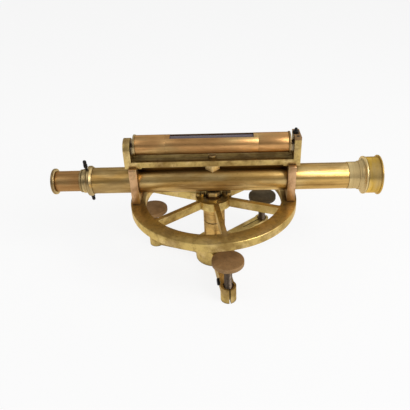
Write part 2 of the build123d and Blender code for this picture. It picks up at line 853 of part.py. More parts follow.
spacer_bore_radius = eyepiece_glass_radius - spacer_wall
spacer_sag_left = sag(eye_lens_sphere, eyepiece_glass_radius) - sag(eye_lens_sphere, spacer_bore_radius)
spacer_sag_right = sag(field_lens_sphere, eyepiece_glass_radius) - sag(field_lens_sphere, spacer_bore_radius)
lens_spacer = turned_ring(
    sight_plane,
    sight_axis,
    eye_lens_left + eye_lens_rim + spacer_sag_left,
    field_lens_right - field_lens_rim - spacer_sag_right,
    spacer_bore_radius,
    eyepiece_glass_radius,
)
finish(lens_spacer, "lens_spacer")

# Level frame: a bar on the standards with an upright at each end
with BuildPart() as level_frame:
    notch_left = standard_middle - standard_thickness / 2 - seat_fit
    notch_right = standard_middle + standard_thickness / 2 + seat_fit
    with BuildSketch(Plane.XZ):
        with Locations((0, (bar_bottom + bar_top) / 2)):
            Rectangle(2 * frame_end, bar_thickness)
        for side in (-1, 1):
            with Locations((side * (leg_inner + frame_end) / 2, (leg_bottom + bar_bottom) / 2)):
                Rectangle(frame_end - leg_inner, leg_drop)
            with Locations((side * (notch_left + notch_right) / 2, (leg_bottom + bar_bottom) / 2)):
                Rectangle(notch_right - notch_left, leg_drop, mode=Mode.SUBTRACT)
        with Locations((-cap_middle, (bar_top + dome_middle) / 2)):
            Rectangle(upright_thickness, dome_middle - bar_top)
        with Locations((cap_middle, (bar_top + cap_bottom) / 2)):
            Rectangle(upright_thickness, cap_bottom - bar_top)
    extrude(amount=bar_half_width, both=True)
    # Round top of the left upright
    with BuildSketch(Plane.YZ.offset(-upright_inner)):
        with Locations((0, dome_middle)):
            Circle(bar_half_width)
    extrude(amount=-upright_thickness)
    with BuildSketch(Plane.XY.offset(bar_top)):
        with Locations((-frame_screw_place, 0), (frame_screw_place, 0)):
            Circle(frame_screw_head_radius + seat_fit)
    extrude(amount=-frame_screw_head_height, mode=Mode.SUBTRACT)
    with BuildSketch(Plane.XY.offset(leg_bottom)):
        with Locations((-frame_screw_place, 0), (frame_screw_place, 0)):
            Circle(frame_screw_radius + seat_fit)
        Circle(centre_screw_radius + seat_fit)
    extrude(amount=bar_top - leg_bottom, mode=Mode.SUBTRACT)
    # Round seat of the pivot stud in the left upright
    with BuildSketch(Plane.YZ.offset(-upright_inner)):
        with Locations((0, level_height)):
            Circle(stud_radius + running_fit)
    extrude(amount=-pivot_seat - end_play, mode=Mode.SUBTRACT)
    # Upright slot that guides the lift stud in the right upright
    with BuildSketch(Plane.YZ.offset(upright_inner)):
        with Locations((0, level_height)):
            SlotOverall(2 * lift_slot_half, 2 * (stud_radius + running_fit), rotation=90)
    extrude(amount=lift_slot_depth, mode=Mode.SUBTRACT)
    adjuster_foot = level_height - lift_slot_half - adjuster_seat_depth
    with BuildSketch(Plane.XY.offset(adjuster_foot - end_play)):
        with Locations((adjuster_place, 0)):
            Circle(adjuster_radius + running_fit)
    extrude(amount=cap_bottom - adjuster_foot + end_play, mode=Mode.SUBTRACT)
    with BuildSketch(Plane.XY.offset(cap_bottom)):
        with Locations((cap_middle, -cap_screw_spread / 2), (cap_middle, cap_screw_spread / 2)):
            Circle(cap_screw_radius + seat_fit)
    extrude(amount=-cap_screw_reach, mode=Mode.SUBTRACT)
finish(level_frame, "level_frame")

with BuildPart() as frame_screws:
    with BuildSketch(Plane.XY.offset(bar_bottom - frame_screw_reach)):
        with Locations((-frame_screw_place, 0), (frame_screw_place, 0)):
            Circle(frame_screw_radius)
    extrude(amount=bar_thickness + frame_screw_reach)
    with BuildSketch(Plane.XY.offset(bar_top)):
        with Locations((-frame_screw_place, 0), (frame_screw_place, 0)):
            Circle(frame_screw_head_radius)
    extrude(amount=-frame_screw_head_height)
finish(frame_screws, "frame_screws")

# Hexagonal post between the telescope and the bar, with its screw from above
with BuildPart() as centre_post:
    with BuildSketch(Plane.XY.offset(sight_height)):
        RegularPolygon(post_across_flats / 2, 6, major_radius=False, rotation=post_turn)
    extrude(amount=bar_bottom - sight_height)
    with BuildSketch(Plane.YZ):
        with Locations((0, sight_height)):
            Circle(tube_radius + seat_fit)
    extrude(amount=post_across_flats, both=True, mode=Mode.SUBTRACT)
    with BuildSketch(Plane.XY.offset(bar_bottom)):
        Circle(centre_screw_radius + seat_fit)
    extrude(amount=-centre_screw_reach, mode=Mode.SUBTRACT)
finish(centre_post, "centre_post")

with BuildPart() as centre_screw:
    with BuildSketch(Plane.XY.offset(bar_bottom - centre_screw_reach)):
        Circle(centre_screw_radius)
    extrude(amount=bar_thickness + centre_screw_reach)
    with BuildSketch(Plane.XY.offset(bar_top)):
        Circle(centre_screw_head_radius)
    extrude(amount=centre_screw_head_height)
    with BuildSketch(Plane.XY.offset(bar_top + centre_screw_head_height)):
        Rectangle(2 * centre_screw_head_radius, centre_screw_slot_width)
    extrude(amount=-centre_screw_slot_depth, mode=Mode.SUBTRACT)
finish(centre_screw, "centre_screw")

# Cap that keeps the adjusting screw down on the right upright
with BuildPart() as adjuster_cap:
    with BuildSketch(Plane.XY.offset(cap_bottom)):
        with Locations((cap_middle, 0)):
            Rectangle(upright_thickness, 2 * bar_half_width)
    extrude(amount=adjuster_cap_thickness)
    with BuildSketch(Plane.XY.offset(cap_bottom)):
        with Locations((adjuster_place, 0)):
            Circle(adjuster_collar_radius + running_fit)
    extrude(amount=adjuster_collar_height + running_fit, mode=Mode.SUBTRACT)
    with BuildSketch(Plane.XY.offset(cap_bottom)):
        with Locations((adjuster_place, 0)):
            Circle(adjuster_radius + running_fit)
    extrude(amount=adjuster_cap_thickness, mode=Mode.SUBTRACT)
    with Locations((cap_middle, 0, upright_top)):
        with GridLocations(1, cap_screw_spread, 1, 2):
            CounterBoreHole(
                cap_screw_radius + seat_fit, cap_screw_head_radius + seat_fit, cap_screw_head_height
            )
finish(adjuster_cap, "adjuster_cap")

with BuildPart() as cap_screws:
    with BuildSketch(Plane.XY.offset(cap_bottom - cap_screw_reach)):
        with Locations((cap_middle, -cap_screw_spread / 2), (cap_middle, cap_screw_spread / 2)):
            Circle(cap_screw_radius)
    extrude(amount=adjuster_cap_thickness + cap_screw_reach)
    with BuildSketch(Plane.XY.offset(upright_top)):
        with Locations((cap_middle, -cap_screw_spread / 2), (cap_middle, cap_screw_spread / 2)):
            Circle(cap_screw_head_radius)
    extrude(amount=-cap_screw_head_height)
finish(cap_screws, "cap_screws")

# Adjusting screw: capstan head, collar under the cap and a shank through the lift stud
with BuildPart() as adjusting_screw:
    with BuildSketch(Plane.XY.offset(adjuster_foot)):
        with Locations((adjuster_place, 0)):
            Circle(adjuster_radius)
    extrude(amount=upright_top - adjuster_foot)
    with BuildSketch(Plane.XY.offset(cap_bottom)):
        with Locations((adjuster_place, 0)):
            Circle(adjuster_collar_radius)
    extrude(amount=adjuster_collar_height)
    with BuildSketch(Plane.XY.offset(upright_top)):
        with Locations((adjuster_place, 0)):
            Circle(adjuster_head_radius)
    extrude(amount=adjuster_head_height)
    head_edges = adjusting_screw.faces().sort_by(Axis.Z)[-1].edges()
    fillet(head_edges, adjuster_head_round)
    with BuildSketch(Plane.XY.offset(upright_top + adjuster_head_height)):
        with Locations((adjuster_place, 0)):
            Circle(adjuster_peg_radius)
    extrude(amount=adjuster_peg_height)
    fillet(adjusting_screw.faces().sort_by(Axis.Z)[-1].edges(), adjuster_head_round)
    for direction in (Plane.XZ, Plane.YZ):
        hole_plane = Plane(
            origin=(adjuster_place, 0, upright_top + adjuster_head_height / 2),
            z_dir=direction.z_dir,
        )
        with BuildSketch(hole_plane):
            Circle(adjuster_hole_radius)
        extrude(amount=adjuster_head_radius, both=True, mode=Mode.SUBTRACT)
finish(adjusting_screw, "adjusting_screw")

# Level: a sleeve with a window, a tube and an end plug on each side, and the glass inside
with BuildPart() as level_sleeve:
    joint_end = level_sleeve_half + level_joint_length
    with BuildSketch(level_plane):
        band(-level_sleeve_half, level_sleeve_half, level_bore_radius, level_radius)
        band(-joint_end, joint_end, level_bore_radius, level_joint_radius)
    revolve(axis=level_axis)
    with BuildSketch(Plane.XY.offset(level_height)):
        Rectangle(2 * window_half_length, 2 * window_half_width)
    extrude(amount=level_radius, mode=Mode.SUBTRACT)
finish(level_sleeve, "level_sleeve")

for side, name in ((-1, "left"), (1, "right")):
    cap_ends = sorted((side * level_sleeve_half, side * level_plug_left))
    joint_ends = sorted((side * level_sleeve_half, side * joint_end))
    ring_ends = sorted((side * level_plug_left, side * level_end))
    plug_ends = sorted((side * (level_plug_left - level_plug_depth), side * level_plug_left))
    with BuildPart() as level_cap:
        with BuildSketch(level_plane):
            band(*cap_ends, level_bore_radius, level_radius)
            band(*joint_ends, level_bore_radius, level_joint_radius + seat_fit, mode=Mode.SUBTRACT)
        revolve(axis=level_axis)
    finish(level_cap, f"level_cap_{name}")

    with BuildPart() as level_plug:
        with BuildSketch(level_plane):
            band(*ring_ends, stud_radius + seat_fit, level_ring_radius)
            band(*plug_ends, stud_radius + seat_fit, level_bore_radius - seat_fit)
        revolve(axis=level_axis)
    finish(level_plug, f"level_plug_{name}")

pivot_stud = turned_ring(
    level_plane, level_axis, -upright_inner - pivot_seat, stud_seat - level_end, 0, stud_radius
)
finish(pivot_stud, "pivot_stud")

with BuildPart() as lift_stud:
    with BuildSketch(level_plane):
        band(level_end - stud_seat, lift_stud_end, 0, stud_radius)
    revolve(axis=level_axis)
    with BuildSketch(Plane.XY.offset(level_height)):
        with Locations((adjuster_place, 0)):
            Circle(adjuster_radius + adjuster_thread_play)
    extrude(amount=stud_radius, both=True, mode=Mode.SUBTRACT)
finish(lift_stud, "lift_stud")

vial_bore_radius = vial_radius - vial_wall
with BuildPart() as vial:
    with BuildSketch(level_plane):
        band(-vial_half_length, vial_half_length, 0, vial_radius)
        band(vial_wall - vial_half_length, vial_half_length - vial_wall, 0, vial_bore_radius, Mode.SUBTRACT)
    revolve(axis=level_axis)
finish(vial, "vial")

# Spirit with a bubble under the top of the bore
with BuildPart() as spirit:
    spirit_radius = vial_bore_radius - seat_fit
    spirit_end = vial_half_length - vial_wall - seat_fit
    with BuildSketch(level_plane):
        band(-spirit_end, spirit_end, 0, spirit_radius)
    revolve(axis=level_axis)
    bubble_left = bubble_middle - bubble_half_length
    bubble_right = bubble_middle + bubble_half_length
    with BuildSketch(level_plane):
        with BuildLine():
            ThreePointArc(
                (bubble_left, spirit_radius),
                (bubble_middle, spirit_radius - bubble_depth),
                (bubble_right, spirit_radius),
            )
            Line((bubble_left, spirit_radius), (bubble_right, spirit_radius))
        make_face()
    revolve(axis=Axis((0, 0, level_height + spirit_radius), (1, 0, 0)), mode=Mode.SUBTRACT)
finish(spirit, "spirit")

with BuildPart() as vial_packing:
    packing_right = level_sleeve_half + packing_inset
    with BuildSketch(level_plane):
        for left in (-packing_right, packing_right - packing_width):
            band(left, left + packing_width, vial_radius + seat_fit, level_bore_radius - seat_fit)
    revolve(axis=level_axis)
finish(vial_packing, "vial_packing")
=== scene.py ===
"""Looks of a brass theodolite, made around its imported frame.

The frame gives every rigid piece in metres. Each operator below makes one piece or one group
of like pieces in that frame, and the last one sets up the floor, the lamps and the camera.
"""

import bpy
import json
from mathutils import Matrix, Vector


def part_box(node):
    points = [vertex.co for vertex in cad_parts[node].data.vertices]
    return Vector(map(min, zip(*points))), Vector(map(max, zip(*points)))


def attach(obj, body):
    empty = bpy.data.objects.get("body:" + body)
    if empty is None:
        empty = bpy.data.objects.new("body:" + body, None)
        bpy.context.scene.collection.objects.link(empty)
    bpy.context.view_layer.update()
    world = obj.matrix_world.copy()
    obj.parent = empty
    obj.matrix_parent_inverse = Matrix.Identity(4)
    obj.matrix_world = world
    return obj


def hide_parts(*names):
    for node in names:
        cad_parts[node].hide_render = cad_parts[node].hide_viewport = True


bl_info = {
    "name": "Brass Theodolite",
    "version": (1, 0, 0),
    "blender": (4, 5, 0),
    "location": "3D View > Sidebar > Theodolite",
    "description": "Builds the finished pieces and the studio of a brass theodolite",
    "category": "Add Mesh",
}

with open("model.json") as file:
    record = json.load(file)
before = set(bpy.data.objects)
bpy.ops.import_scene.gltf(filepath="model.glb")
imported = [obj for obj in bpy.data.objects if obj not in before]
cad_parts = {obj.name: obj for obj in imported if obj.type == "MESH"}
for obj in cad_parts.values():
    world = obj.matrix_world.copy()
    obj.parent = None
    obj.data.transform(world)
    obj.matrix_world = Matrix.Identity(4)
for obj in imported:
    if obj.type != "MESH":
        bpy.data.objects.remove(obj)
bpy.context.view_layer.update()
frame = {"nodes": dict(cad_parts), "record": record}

import json
from math import cos, pi, radians, sin, tan

import bmesh
import bpy
from bpy.props import (
    FloatProperty,
    FloatVectorProperty,
    IntProperty,
    PointerProperty,
)
from mathutils import Matrix, Vector

MM = 0.001
FEET = ("front", "right", "left")
SIDES = ("left", "right")
MERGE = 2e-6
ROWS_PER_THREAD = 8
SPANS_PER_RIDGE = 6
ROD_SPANS = 40
NUT_SPANS = 144
SCREW_SPANS = 32


def linear(red, green, blue):
    """A colour written as 0 to 255 on a screen, as the linear values that a socket takes."""
    values = []
    for part in (red, green, blue):
        part = part / 255
        values.append(part / 12.92 if part <= 0.04045 else ((part + 0.055) / 1.055) ** 2.4)
    return (*values, 1.0)


# Sizes, colours and studio settings that a user would change


def length(name, default, description):
    return FloatProperty(
        name=name, description=description, default=default, min=0.0, unit="LENGTH", precision=5
    )


def colour(name, default, description):
    return FloatVectorProperty(
        name=name, description=description, default=default, size=4, min=0.0, max=1.0, subtype="COLOR"
    )


class TheodoliteSizes(bpy.types.PropertyGroup):
    edge: length("Worn edge", 0.35 * MM, "Width of the rounding on cast and milled edges")
    turned_edge: length("Turned edge", 0.2 * MM, "Width of the rounding on turned edges")
    foot_pitch: length("Levelling pitch", 1.1 * MM, "Pitch of the three levelling screws")
    foot_depth: length("Levelling thread", 0.4 * MM, "Depth of the levelling screws' thread")
    knurl_depth: length("Knurl depth", 0.3 * MM, "Depth of the ridges round the knobs")
    knurl_count: IntProperty(
        name="Knurl ridges", description="Ridges round each levelling knob", default=88, min=12
    )
    foot_radius: length("Levelling screw", 4.7 * MM, "Radius of the levelling screws")
    foot_chamfer: length("Levelling tip", 1.0 * MM, "Chamfer at the tip of the levelling screws")
    knob_seat: length("Knob seat", 3.6 * MM, "Radius of the levelling screws inside their knobs")
    knob_edge: length("Knob edge", 0.6 * MM, "Rounding of the knobs' edges")
    knob_web: length("Knob web", 1.3 * MM, "Thickness of a knob over the end of its screw")
    seat_play: length("Seat play", 0.02 * MM, "Play of a seat round what it holds")
    nut_flats: length("Hub nut", 16.5 * MM, "Width of the hub nut across its flats")
    nut_bore: length("Hub nut bore", 8.04 * MM, "Bore of the hub nut")
    nut_turn: FloatProperty(name="Hub nut turn", description="Turn of the nut", default=radians(-9))
    nut_slope: FloatProperty(
        name="Hub nut chamfer", description="Slope of the nut's corners", default=radians(28)
    )


class TheodoliteColours(bpy.types.PropertyGroup):
    cast: colour("Cast brass", linear(217, 187, 113), "Tops of the horizontal circle and base")
    turned: colour("Turned brass", linear(222, 179, 105), "Telescope tube and column")
    cell: colour("Cell brass", linear(250, 222, 160), "Objective cell and the post under the level")
    frame_metal: colour("Frame brass", linear(218, 188, 117), "Frame that carries the level")
    copper: colour("Pink brass", linear(238, 182, 118), "Level tubes and ocular sleeve")
    plate: colour("Plate brass", linear(222, 178, 132), "Standards")
    eye: colour("Eye-end brass", linear(194, 170, 122), "Reticle collar and eye cap")
    polished: colour("Polished brass", linear(255, 208, 92), "Ray shade")
    bronzed: colour("Bronzed brass", linear(172, 136, 94), "Tops of the levelling knobs")
    stain: colour("Stain", linear(112, 74, 30), "Brown patches where the lacquer has gone")
    pale: colour("Worn brass", linear(240, 210, 146), "Places rubbed bright")
    bronze_stain: colour("Bronze stain", linear(120, 92, 62), "Worn patches of the levelling knobs")
    # Painted reflection: the rear right knob is the same bronzed brass, darkened to stand for the dark
    # surroundings it reflects
    smoked: colour("Smoked brass", linear(100, 88, 66), "Darkest levelling knob")
    shaded_knob_stain: colour("Smoke stain", linear(60, 50, 38), "Patches of the darkest knob")
    shaded_knob_wear: colour("Smoke wear", linear(112, 98, 74), "Edges of the darkest knob")
    washer: colour("Washer brass", linear(84, 58, 28), "Washer under the hub nut")
    washer_stain: colour("Washer stain", linear(40, 26, 14), "Patches of the washer")
    # Painted shade: the colour brass is darkened to where other pieces stand near, standing in for their
    # shadow
    painted_shade: colour("Hollow", linear(74, 50, 22), "Brass that other pieces shade")
    # Grime and painted shade: the near-black that crevices and contacts take, for their dirt and for the
    # shade that falls in them
    grime_and_shade: colour("Grime", linear(34, 22, 10), "Dirt in the corners")
    black: colour("Black steel", linear(34, 31, 30), "Capstan, clamp and adjusting screws")
    bare: colour("Bare steel", linear(84, 78, 72), "Rubbed spots and edges of black steel")
    steel: colour("Steel", linear(112, 98, 84), "Levelling screws and spindle")
    rust: colour("Rust", linear(84, 66, 50), "Brown spots on the steel")
    lens: colour("Lens glass", linear(236, 244, 240), "Lenses of the telescope")
    vial: colour("Vial glass", linear(138, 124, 132), "Dusty glass of the level")
    spirit: colour("Spirit", linear(196, 204, 150), "Liquid in the vial")
    cork: colour("Cork", linear(120, 86, 56), "Packing at the ends of the vial")
    cork_dark: colour("Cork grain", linear(72, 48, 30), "Dark grains of the cork")


class TheodoliteStudio(bpy.types.PropertyGroup):
    floor: colour("Floor", linear(250, 250, 250), "Colour of the floor")
    camera_place: FloatVectorProperty(
        name="Camera place",
        description="Where the camera stands",
        default=(0.0124, -0.5015, 0.3909),
        subtype="TRANSLATION",
        unit="LENGTH",
    )
    azimuth: FloatProperty(
        name="Azimuth", description="Camera's turn", default=radians(0.95), subtype="ANGLE"
    )
    elevation: FloatProperty(
        name="Elevation", description="Camera's height angle", default=radians(30.75), subtype="ANGLE"
    )
    roll: FloatProperty(name="Roll", description="Camera's roll", default=radians(1.7), subtype="ANGLE")
    lens: FloatProperty(name="Lens", description="Focal length for a 36 mm sensor", default=41.066)
    shift_x: FloatProperty(name="Shift X", description="Sideways shift of the lens", default=-0.02878)
    shift_y: FloatProperty(name="Shift Y", description="Upward shift of the lens", default=-0.02407)
    key: FloatProperty(name="Key lamp", description="Strength of the key lamp in watts", default=9.0)
    fill: FloatProperty(name="Fill lamp", description="Strength of the fill lamp in watts", default=2.0)
    room: FloatProperty(name="Room light", description="Strength of the light all round", default=0.4)
    wall: FloatProperty(name="Wall", description="Brightness of the walls in mirrored light", default=0.05)
    front: FloatProperty(name="Front", description="Brightness above the front wall", default=0.3)
    back: FloatProperty(name="Back", description="Brightness above the back wall", default=0.62)
    ceiling: FloatProperty(name="Ceiling", description="Brightness of the ceiling", default=0.4)
    window: FloatProperty(name="Window", description="Brightness added on the right", default=0.7)
    glow: FloatProperty(
        name="Floor glow", description="Share of plain white in the floor as it is seen", default=0.86
    )


# Node trees, written as expressions


class Socket:
    """An output of a node. Arithmetic on it adds Math nodes to the same tree."""

    def __init__(self, board, socket):
        self.board = board
        self.socket = socket

    def _math(self, operation, first, second):
        return self.board.node("ShaderNodeMath", {"operation": operation}, {0: first, 1: second})

    def __add__(self, other):
        return self._math("ADD", self, other)

    __radd__ = __add__

    def __sub__(self, other):
        return self._math("SUBTRACT", self, other)

    def __rsub__(self, other):
        return self._math("SUBTRACT", other, self)

    def __mul__(self, other):
        return self._math("MULTIPLY", self, other)

    __rmul__ = __mul__

    def __truediv__(self, other):
        return self._math("DIVIDE", self, other)

    def __rtruediv__(self, other):
        return self._math("DIVIDE", other, self)

    def __pow__(self, other):
        return self._math("POWER", self, other)

    def between(self, low, high):
        """0 below low, 1 above high, smooth between them."""
        return self.board.node(
            "ShaderNodeMapRange",
            {"interpolation_type": "SMOOTHSTEP"},
            {"Value": self, "From Min": low, "From Max": high},
        )


class Board:
    """A node tree that is written to with one method."""

    def __init__(self, tree):
        self.tree = tree

    def node(self, kind, settings=None, values=None, out=0):
        node = self.tree.nodes.new(kind)
        for name, value in (settings or {}).items():
            if name == "stops":
                ramp = node.color_ramp
                for element, (place, shade) in zip(ramp.elements, value):
                    element.position, element.color = place, shade
                for place, shade in value[2:]:
                    ramp.elements.new(place).color = shade
            else:
                setattr(node, name, value)
        for key, value in (values or {}).items():
            links = value if isinstance(value, list) else [value]
            for link in links:
                if isinstance(link, Socket):
                    self.tree.links.new(link.socket, node.inputs[key])
                else:
                    node.inputs[key].default_value = link
        return Socket(self, node.outputs[out]) if out is not None else node

    def mix(self, share, first, second):
        """One colour turned into another by a share."""
        return self.node(
            "ShaderNodeMix", {"data_type": "RGBA"}, {0: share, 6: first, 7: second}, out=2
        )

    def stretched(self, place, scale):
        """The place, scaled along each axis."""
        return self.node("ShaderNodeMapping", values={"Vector": place, "Scale": scale})

    def noise(self, place, scale, detail=4.0, rough=0.55):
        """Cloudy variation with the given number of clouds per metre."""
        return self.node(
            "ShaderNodeTexNoise",
            values={"Vector": place, "Scale": scale, "Detail": detail, "Roughness": rough},
        )


def blank_material(name):
    """A new material with an empty tree, and the board to write it on."""
    material = bpy.data.materials.new(f"aged_{name}")
    material.use_nodes = True
    material.node_tree.nodes.clear()
    return material, Board(material.node_tree)


def show(board, surface):
    board.node("ShaderNodeOutputMaterial", values={"Surface": surface}, out=None)


# Finishes


def old_brass(name, colours, grain, age, rough, patch=34.0, painted_shade_strength=0.7, metal=1.0):
    """Lacquered brass that has aged: brown clouds, rubbed bright places and a tool's grain.

    The grain is "lathe" for rings round the X axis, "spun" for rings round the Z axis, "drawn"
    for lines along X, "cast" for a fine sand-cast skin. Age goes from 0 to 1. The argument after
    the patch size sets how far painted shade darkens the brass where other pieces stand within
    16 mm, and metal is how much of it still shines as metal. The colours are the body's, its
    stains' and its worn places', then the painted shade's, and last the colour of grime and
    painted contact shade in crevices.
    """
    body, stain, pale, painted_shade, grime_and_shade = colours
    material, board = blank_material(name)
    place = board.node("ShaderNodeTexCoord", out="Object")
    long_way = {"lathe": (1.6, 0.5, 0.5), "drawn": (0.3, 1.0, 1.0)}.get(grain, (1.0, 1.0, 1.0))
    drawn_out = board.stretched(place, long_way)
    clouds = board.noise(drawn_out, patch, 5.0, 0.6)
    worn = board.noise(drawn_out, patch * 1.7, 3.0, 0.5)
    specks = board.noise(place, patch * 16, 4.0, 0.6)
    if grain == "lathe":
        runs = board.noise(board.stretched(place, (420.0, 12.0, 12.0)), 1.0, 4.0, 0.65)
        lines = board.noise(board.stretched(place, (2600.0, 40.0, 40.0)), 1.0, 3.0, 0.7)
    elif grain == "drawn":
        runs = board.noise(board.stretched(place, (7.0, 300.0, 300.0)), 1.0, 4.0, 0.65)
        lines = board.noise(board.stretched(place, (60.0, 1500.0, 1500.0)), 1.0, 3.0, 0.7)
    elif grain == "spun":
        split = board.node("ShaderNodeSeparateXYZ", values={"Vector": place}, out=None)
        along, across, height = (Socket(board, split.outputs[axis]) for axis in "XYZ")
        radius = (along * along + across * across) ** 0.5 + 1e-4
        ring = board.node(
            "ShaderNodeCombineXYZ",
            values={
                "X": radius * 330.0 + along / radius * 1.2,
                "Y": height * 330.0 + across / radius * 1.2,
            },
        )
        runs = board.noise(ring, 1.0, 4.0, 0.65)
        lines = board.noise(ring, 6.0, 3.0, 0.7)
    else:
        runs = board.noise(place, 130.0, 5.0, 0.7)
        lines = board.noise(place, 1500.0, 4.0, 0.65)
    stained = clouds.between(0.42, 0.64) * age
    streaked = runs.between(0.46, 0.68) * age * 0.75
    spotted = specks.between(0.58, 0.74) * age * 0.6
    rubbed = worn.between(0.46, 0.66) * 0.7
    # Grime and painted contact shade: within 2.2 mm of other surfaces the brass darkens almost to black
    nook = board.node(
        "ShaderNodeAmbientOcclusion", {"samples": 6}, {"Distance": 2.2 * MM}, out="AO"
    )
    # Painted shade: within 16 mm of other pieces the brass darkens towards the painted shade colour, as
    # their shadow
    open_sky = board.node(
        "ShaderNodeAmbientOcclusion", {"samples": 8}, {"Distance": 16.0 * MM}, out="AO"
    )
    rim = board.node(
        "ShaderNodeAmbientOcclusion", {"samples": 6, "inside": True}, {"Distance": 0.7 * MM}, out="AO"
    )
    grime_and_shade_mask = (1.0 - nook).between(0.2, 0.8) * 0.9
    painted_shade_mask = (1.0 - open_sky).between(0.12, 0.75) * painted_shade_strength
    edge = (1.0 - rim).between(0.35, 0.8) * (1.0 - grime_and_shade_mask) * 0.5
    shade = board.mix(rubbed, body, pale)
    shade = board.mix(stained, shade, stain)
    shade = board.mix(streaked, shade, stain)
    shade = board.mix(spotted, shade, stain)
    shade = board.mix(edge, shade, pale)
    # Painted shade of nearby pieces mixed over the brass
    shade = board.mix(painted_shade_mask, shade, painted_shade)
    # Grime and painted contact shade mixed in last, over everything
    shade = board.mix(grime_and_shade_mask, shade, grime_and_shade)
    roughness = rough + 0.12 * lines + 0.2 * stained + 0.16 * grime_and_shade_mask + 0.1 * streaked
    height = lines * 0.5 + specks * 0.35 + clouds * 0.6
    bump = board.node(
        "ShaderNodeBump", values={"Strength": 0.14, "Distance": 0.25 * MM, "Height": height}, out="Normal"
    )
    metallic = metal * (1.0 - 0.2 * stained - 0.4 * grime_and_shade_mask)
    surface = board.node(
        "ShaderNodeBsdfPrincipled",
        values={
            "Base Color": shade,
            "Metallic": metallic,
            "Roughness": roughness,
            "Normal": bump,
            "Specular IOR Level": 0.25,
            "Specular Tint": (1.0, 0.88, 0.66, 1.0),
        },
    )
    show(board, surface)
    return material


def dark_steel(name, body, edge_colour, rough=0.36):
    """Blackened steel with a dull skin and rubbed grey spots."""
    material, board = blank_material(name)
    place = board.node("ShaderNodeTexCoord", out="Object")
    clouds = board.noise(place, 420.0, 5.0, 0.6)
    grain = board.noise(place, 2400.0, 3.0, 0.6)
    rim = board.node(
        "ShaderNodeAmbientOcclusion", {"samples": 6, "inside": True}, {"Distance": 0.5 * MM}, out="AO"
    )
    edge = (1.0 - rim).between(0.4, 0.85) * 0.5
    shade = board.mix(clouds.between(0.52, 0.75) * 0.55, body, edge_colour)
    shade = board.mix(edge, shade, edge_colour)
    bump = board.node(
        "ShaderNodeBump", values={"Strength": 0.2, "Distance": 0.1 * MM, "Height": grain}, out="Normal"
    )
    surface = board.node(
        "ShaderNodeBsdfPrincipled",
        values={
            "Base Color": shade,
            "Metallic": 0.55,
            "Roughness": rough + 0.2 * clouds,
            "Normal": bump,
        },
    )
    show(board, surface)
    return material


def bright_steel(name, body, stain):
    """Turned steel with faint brown spots."""
    material, board = blank_material(name)
    place = board.node("ShaderNodeTexCoord", out="Object")
    spots = board.noise(place, 260.0, 5.0, 0.6)
    rings = board.noise(board.stretched(place, (60.0, 60.0, 3000.0)), 1.0, 3.0, 0.6)
    shade = board.mix(spots.between(0.5, 0.72) * 0.7, body, stain)
    bump = board.node(
        "ShaderNodeBump", values={"Strength": 0.15, "Distance": 0.1 * MM, "Height": rings}, out="Normal"
    )
    surface = board.node(
        "ShaderNodeBsdfPrincipled",
        values={
            "Base Color": shade,
            "Metallic": 1.0,
            "Roughness": 0.28 + 0.25 * spots,
            "Normal": bump,
        },
    )
    show(board, surface)
    return material


def clear_glass(name, tint, rough=0.02, clear=1.0):
    """Clear optical glass with a faint film of dust."""
    material, board = blank_material(name)
    place = board.node("ShaderNodeTexCoord", out="Object")
    film = board.noise(place, 300.0, 4.0, 0.6)
    surface = board.node(
        "ShaderNodeBsdfPrincipled",
        values={
            "Base Color": tint,
            "Roughness": rough + 0.06 * film.between(0.5, 0.8),
            "Transmission Weight": clear,
            "IOR": 1.5,
        },
    )
    show(board, surface)
    return material


def cork_grain(name, body, dark):
    """Pressed cork."""
    material, board = blank_material(name)
    place = board.node("ShaderNodeTexCoord", out="Object")
    grains = board.noise(place, 900.0, 3.0, 0.7)
    shade = board.mix(grains.between(0.45, 0.65), body, dark)
    bump = board.node(
        "ShaderNodeBump", values={"Strength": 0.5, "Distance": 0.3 * MM, "Height": grains}, out="Normal"
    )
    surface = board.node(
        "ShaderNodeBsdfPrincipled",
        values={"Base Color": shade, "Roughness": 0.7 + 0.2 * grains, "Normal": bump},
    )
    show(board, surface)
    return material


def finish(name):
    """A finish by its name, or a plain stop when it hasn't been mixed."""
    material = bpy.data.materials.get(f"aged_{name}")
    if material is None:
        raise RuntimeError(f"the finish {name} hasn't been mixed")
    return material


# Meshes


def body_of_node(node):
    """The moving body that a CAD node belongs to."""
    for body, members in frame["record"]["behaviour"]["bodies"].items():
        if node in members:
            return body
    raise RuntimeError(f"no body holds the node {node}")


def add_piece(name, mesh, node, material):
    """Link a finished mesh as a piece that stands in for a node and moves with its body."""
    piece = bpy.data.objects.new(name, mesh)
    bpy.context.scene.collection.objects.link(piece)
    mesh.materials.clear()
    mesh.materials.append(finish(material))
    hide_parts(node)
    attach(piece, body_of_node(node))
    return piece


def smooth(mesh, angle=32.0):
    """Smooth shading that stays crisp at edges sharper than the angle, in degrees."""
    mesh.shade_smooth()
    mesh.set_sharp_from_angle(angle=radians(angle))


def evaluated_mesh(source):
    """The mesh of an object with its modifiers worked out. The object is removed."""
    bpy.context.view_layer.update()
    graph = bpy.context.evaluated_depsgraph_get()
    mesh = bpy.data.meshes.new_from_object(source.evaluated_get(graph), depsgraph=graph)
    old = source.data
    bpy.data.objects.remove(source)
    bpy.data.meshes.remove(old)
    return mesh


def loose_object(name, mesh):
    """An object that holds a mesh while a modifier works on it."""
    source = bpy.data.objects.new(name, mesh)
    bpy.context.scene.collection.objects.link(source)
    return source


